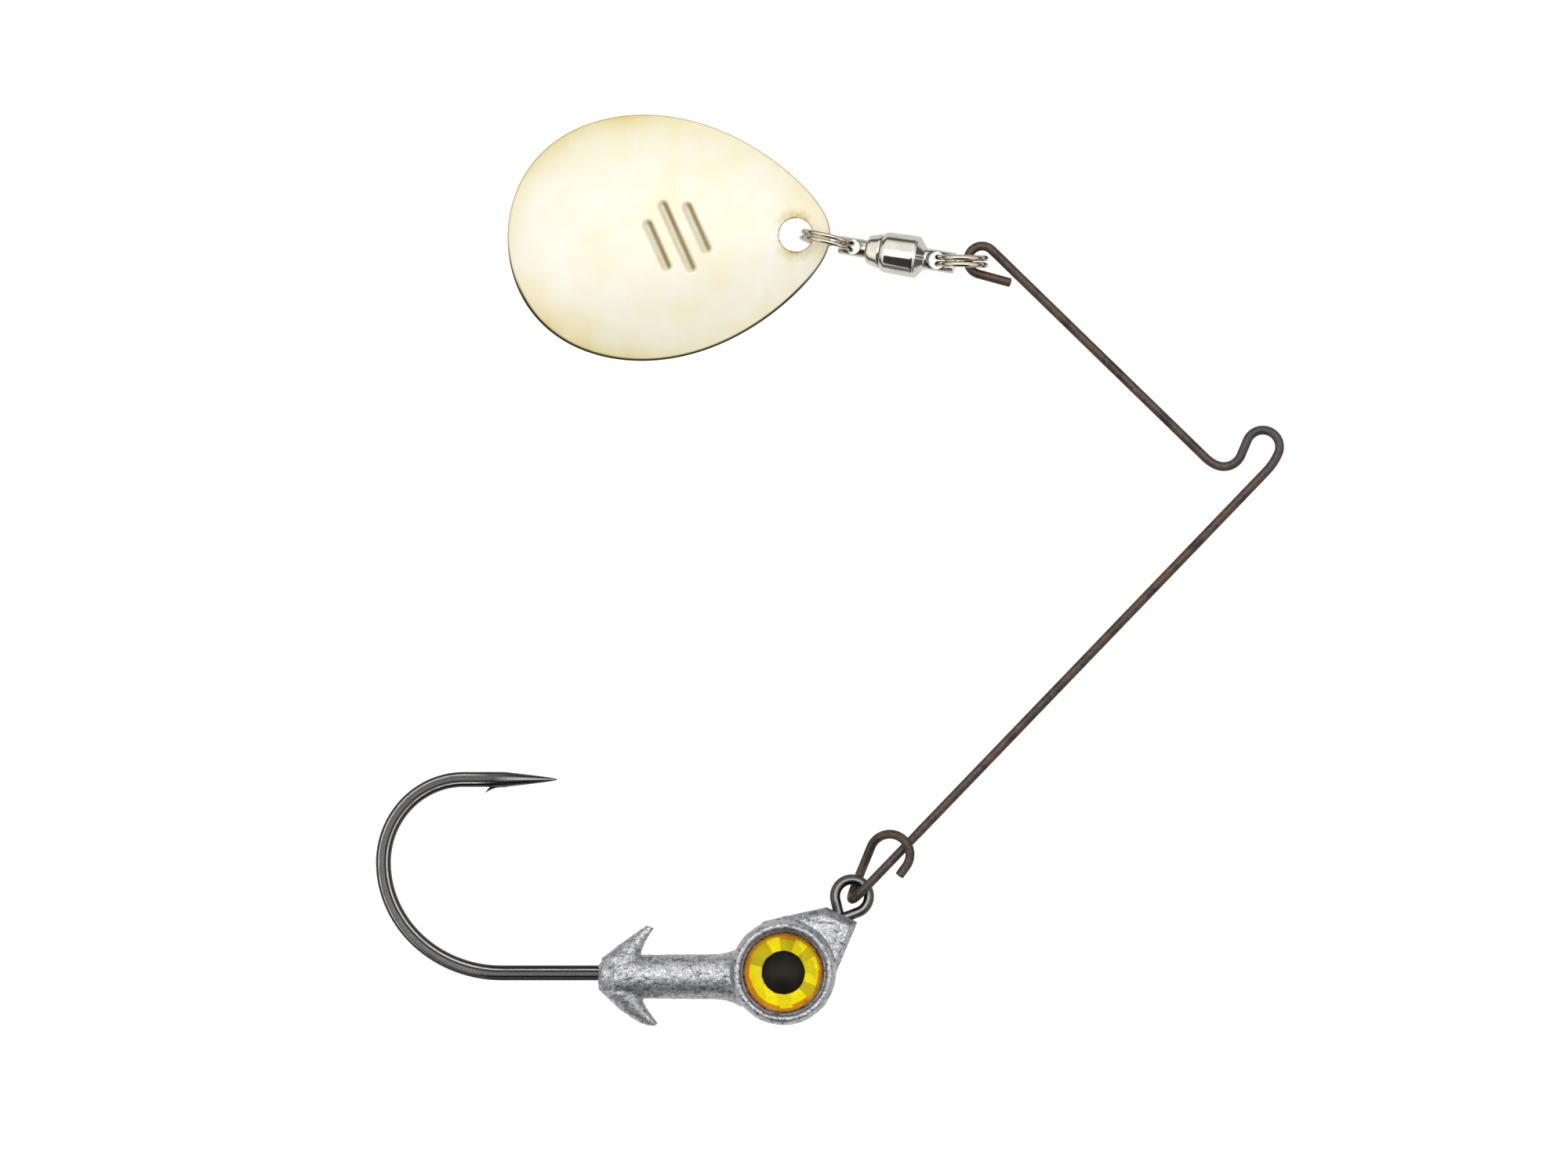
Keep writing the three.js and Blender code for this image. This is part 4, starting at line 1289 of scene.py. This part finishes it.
def blade():
    place = blade_place()
    made = add_piece("spinner_blade", *blade_mesh(), place)
    drill = turn([(-5, 0), (-5, BLADE_HOLE["radius"]), (5, BLADE_HOLE["radius"]), (5, 0)], 96)
    through = place @ Matrix.Translation((BLADE_HOLE["x"], 0, 0)) @ turned_by("Y", -90)
    cut(made, add_piece("hole", *drill, through), solver="MANIFOLD")
    shade(made, 40)
    blade_marks(made, place)
    settle(made, "blade_body", "blade_plate", blade_plate(), "blade")

# ---------------- stage

VIEW_CENTRE = (-4.41, -1.79)
VIEW_WIDTH = 152
VIEW_HEIGHT = 2400  # camera height; far enough that the picture is nearly flat
SENSOR = 36
TABLE_SIZE = 3
TABLE_DROP = 45  # low enough that the blade's gear can hang down in every pose
TABLE_GLOW = 0.9
ROOM_LIGHT = 1.22
UP, NORTH, EAST, DARK_GAP = (0, 0), (90, 90), (0, 90), (-91, 42)  # azimuth, and tilt from straight above
HEIGHT_GREYS = ((-0.9, 0.7), (-0.25, 0.7), (-0.1, 0.1), (0.12, 0.1), (0.3, 0.8), (0.5, 1.0))
LIGHT_DISTANCE = 0.6
KEY_LIGHT = (100, 9, (0.8, 0.36), 1.15)  # azimuth, tilt, size in metres, radiance
FILL_LIGHT = (-90, 75, (0.8, 0.3), 1.9)  # too dull and low to be seen in the metal


def camera():
    data = bpy.data.cameras.new("camera")
    data.sensor_width = SENSOR
    data.lens = SENSOR * VIEW_HEIGHT / VIEW_WIDTH
    data.clip_end = 20
    made = add_object("camera", data)
    made.location = Vector((*VIEW_CENTRE, MID_Z + VIEW_HEIGHT)) * MM
    bpy.context.scene.camera = made


def table():
    shape = bmesh.new()
    bmesh.ops.create_grid(shape, x_segments=2, y_segments=2, size=TABLE_SIZE / 2)
    made = from_shape("table", shape)
    made.location.z = cad_box[0].z - TABLE_DROP * MM
    paint = Paint("white_table", 0.0, 0.9, Base_Color=opaque(0.3), Specular_IOR_Level=0.1)
    paint.set(Emission_Color=opaque(1), Emission_Strength=TABLE_GLOW)
    made.data.materials.append(paint.material)
    made.visible_glossy = False


def pointing(azimuth, tilt):
    """Unit vector at an azimuth and a tilt from straight above."""
    return heading_vector(azimuth) * sin(radians(tilt)) + Vector((0, 0, cos(radians(tilt))))


def soft_light(name, azimuth, tilt, size, radiance, mirrored=True):
    """A rectangular lamp out along a direction, facing the lure."""
    data = bpy.data.lights.new(name, "AREA")
    data.shape = "RECTANGLE"
    data.size, data.size_y = size
    data.energy = radiance * pi * size[0] * size[1]
    made = add_object(name, data)
    away = pointing(azimuth, tilt)
    made.location = away * LIGHT_DISTANCE
    made.rotation_euler = away.to_track_quat("Z", "Y").to_euler()
    made.visible_camera = False
    made.visible_glossy = mirrored


def studio():
    """A pale room: brightest overhead, with dark gaps for the metal to mirror."""
    world = bpy.data.worlds.new("studio")
    room = Nodes(world)
    here = room.node("ShaderNodeTexCoord").outputs["Generated"]

    def vector(operation, first, second):
        return room.node("ShaderNodeVectorMath", {0: first, 1: second}, operation=operation)

    def brightness(aim, *stops):
        """Grey by closeness to a direction, from -1 opposite it to 1 straight at it."""
        closeness = vector("DOT_PRODUCT", here, pointing(*aim)).outputs["Value"]
        spread = room.node("ShaderNodeMapRange", {"Value": closeness, "From Min": -1}).outputs[0]
        return room.ramp(spread, *(((place + 1) / 2, grey) for place, grey in stops))

    height = brightness(UP, *HEIGHT_GREYS)
    side = brightness(NORTH, (-0.9, 1.0), (-0.2, 1.0), (0.2, 0.93))
    gap = brightness(DARK_GAP, (0.79, 1.0), (0.815, 0.05), (1.0, 0.03))
    beside_gap = brightness(EAST, (-0.7, 1.0), (-0.5, 0.0), (0.4, 0.0), (0.6, 1.0))
    gaps = vector("MAXIMUM", gap, beside_gap).outputs[0]
    walls = vector("MULTIPLY", height, side).outputs[0]
    light = vector("MULTIPLY", walls, gaps).outputs[0]
    room.feed(room.tree.nodes["Background"], {"Color": light, "Strength": ROOM_LIGHT})
    bpy.context.scene.world = world
    bpy.context.scene.view_settings.view_transform = "Standard"
    soft_light("key", *KEY_LIGHT)
    soft_light("fill", *FILL_LIGHT, mirrored=False)

# ---------------- build

camera()
path_of_hook = hook_path()
hook(path_of_hook)
lead_head(path_of_hook)
eyes()
wire_arm()
bright = nickel()
ring_plate = nickel("ring_nickel", (0.62, 0.565, 0.45))
split_ring("ring_at_arm", "arm_ring", ARM_RING, BARREL_HOLE, "arm_split_ring", ring_plate)
split_ring("ring_at_blade", "blade_ring", BLADE_RING, ROTOR_HOLE, "blade_split_ring", ring_plate)
swivel_shell(bright)
swivel_cap(bright)
swivel_rotor(bright)
swivel_inside()
blade()
table()
studio()
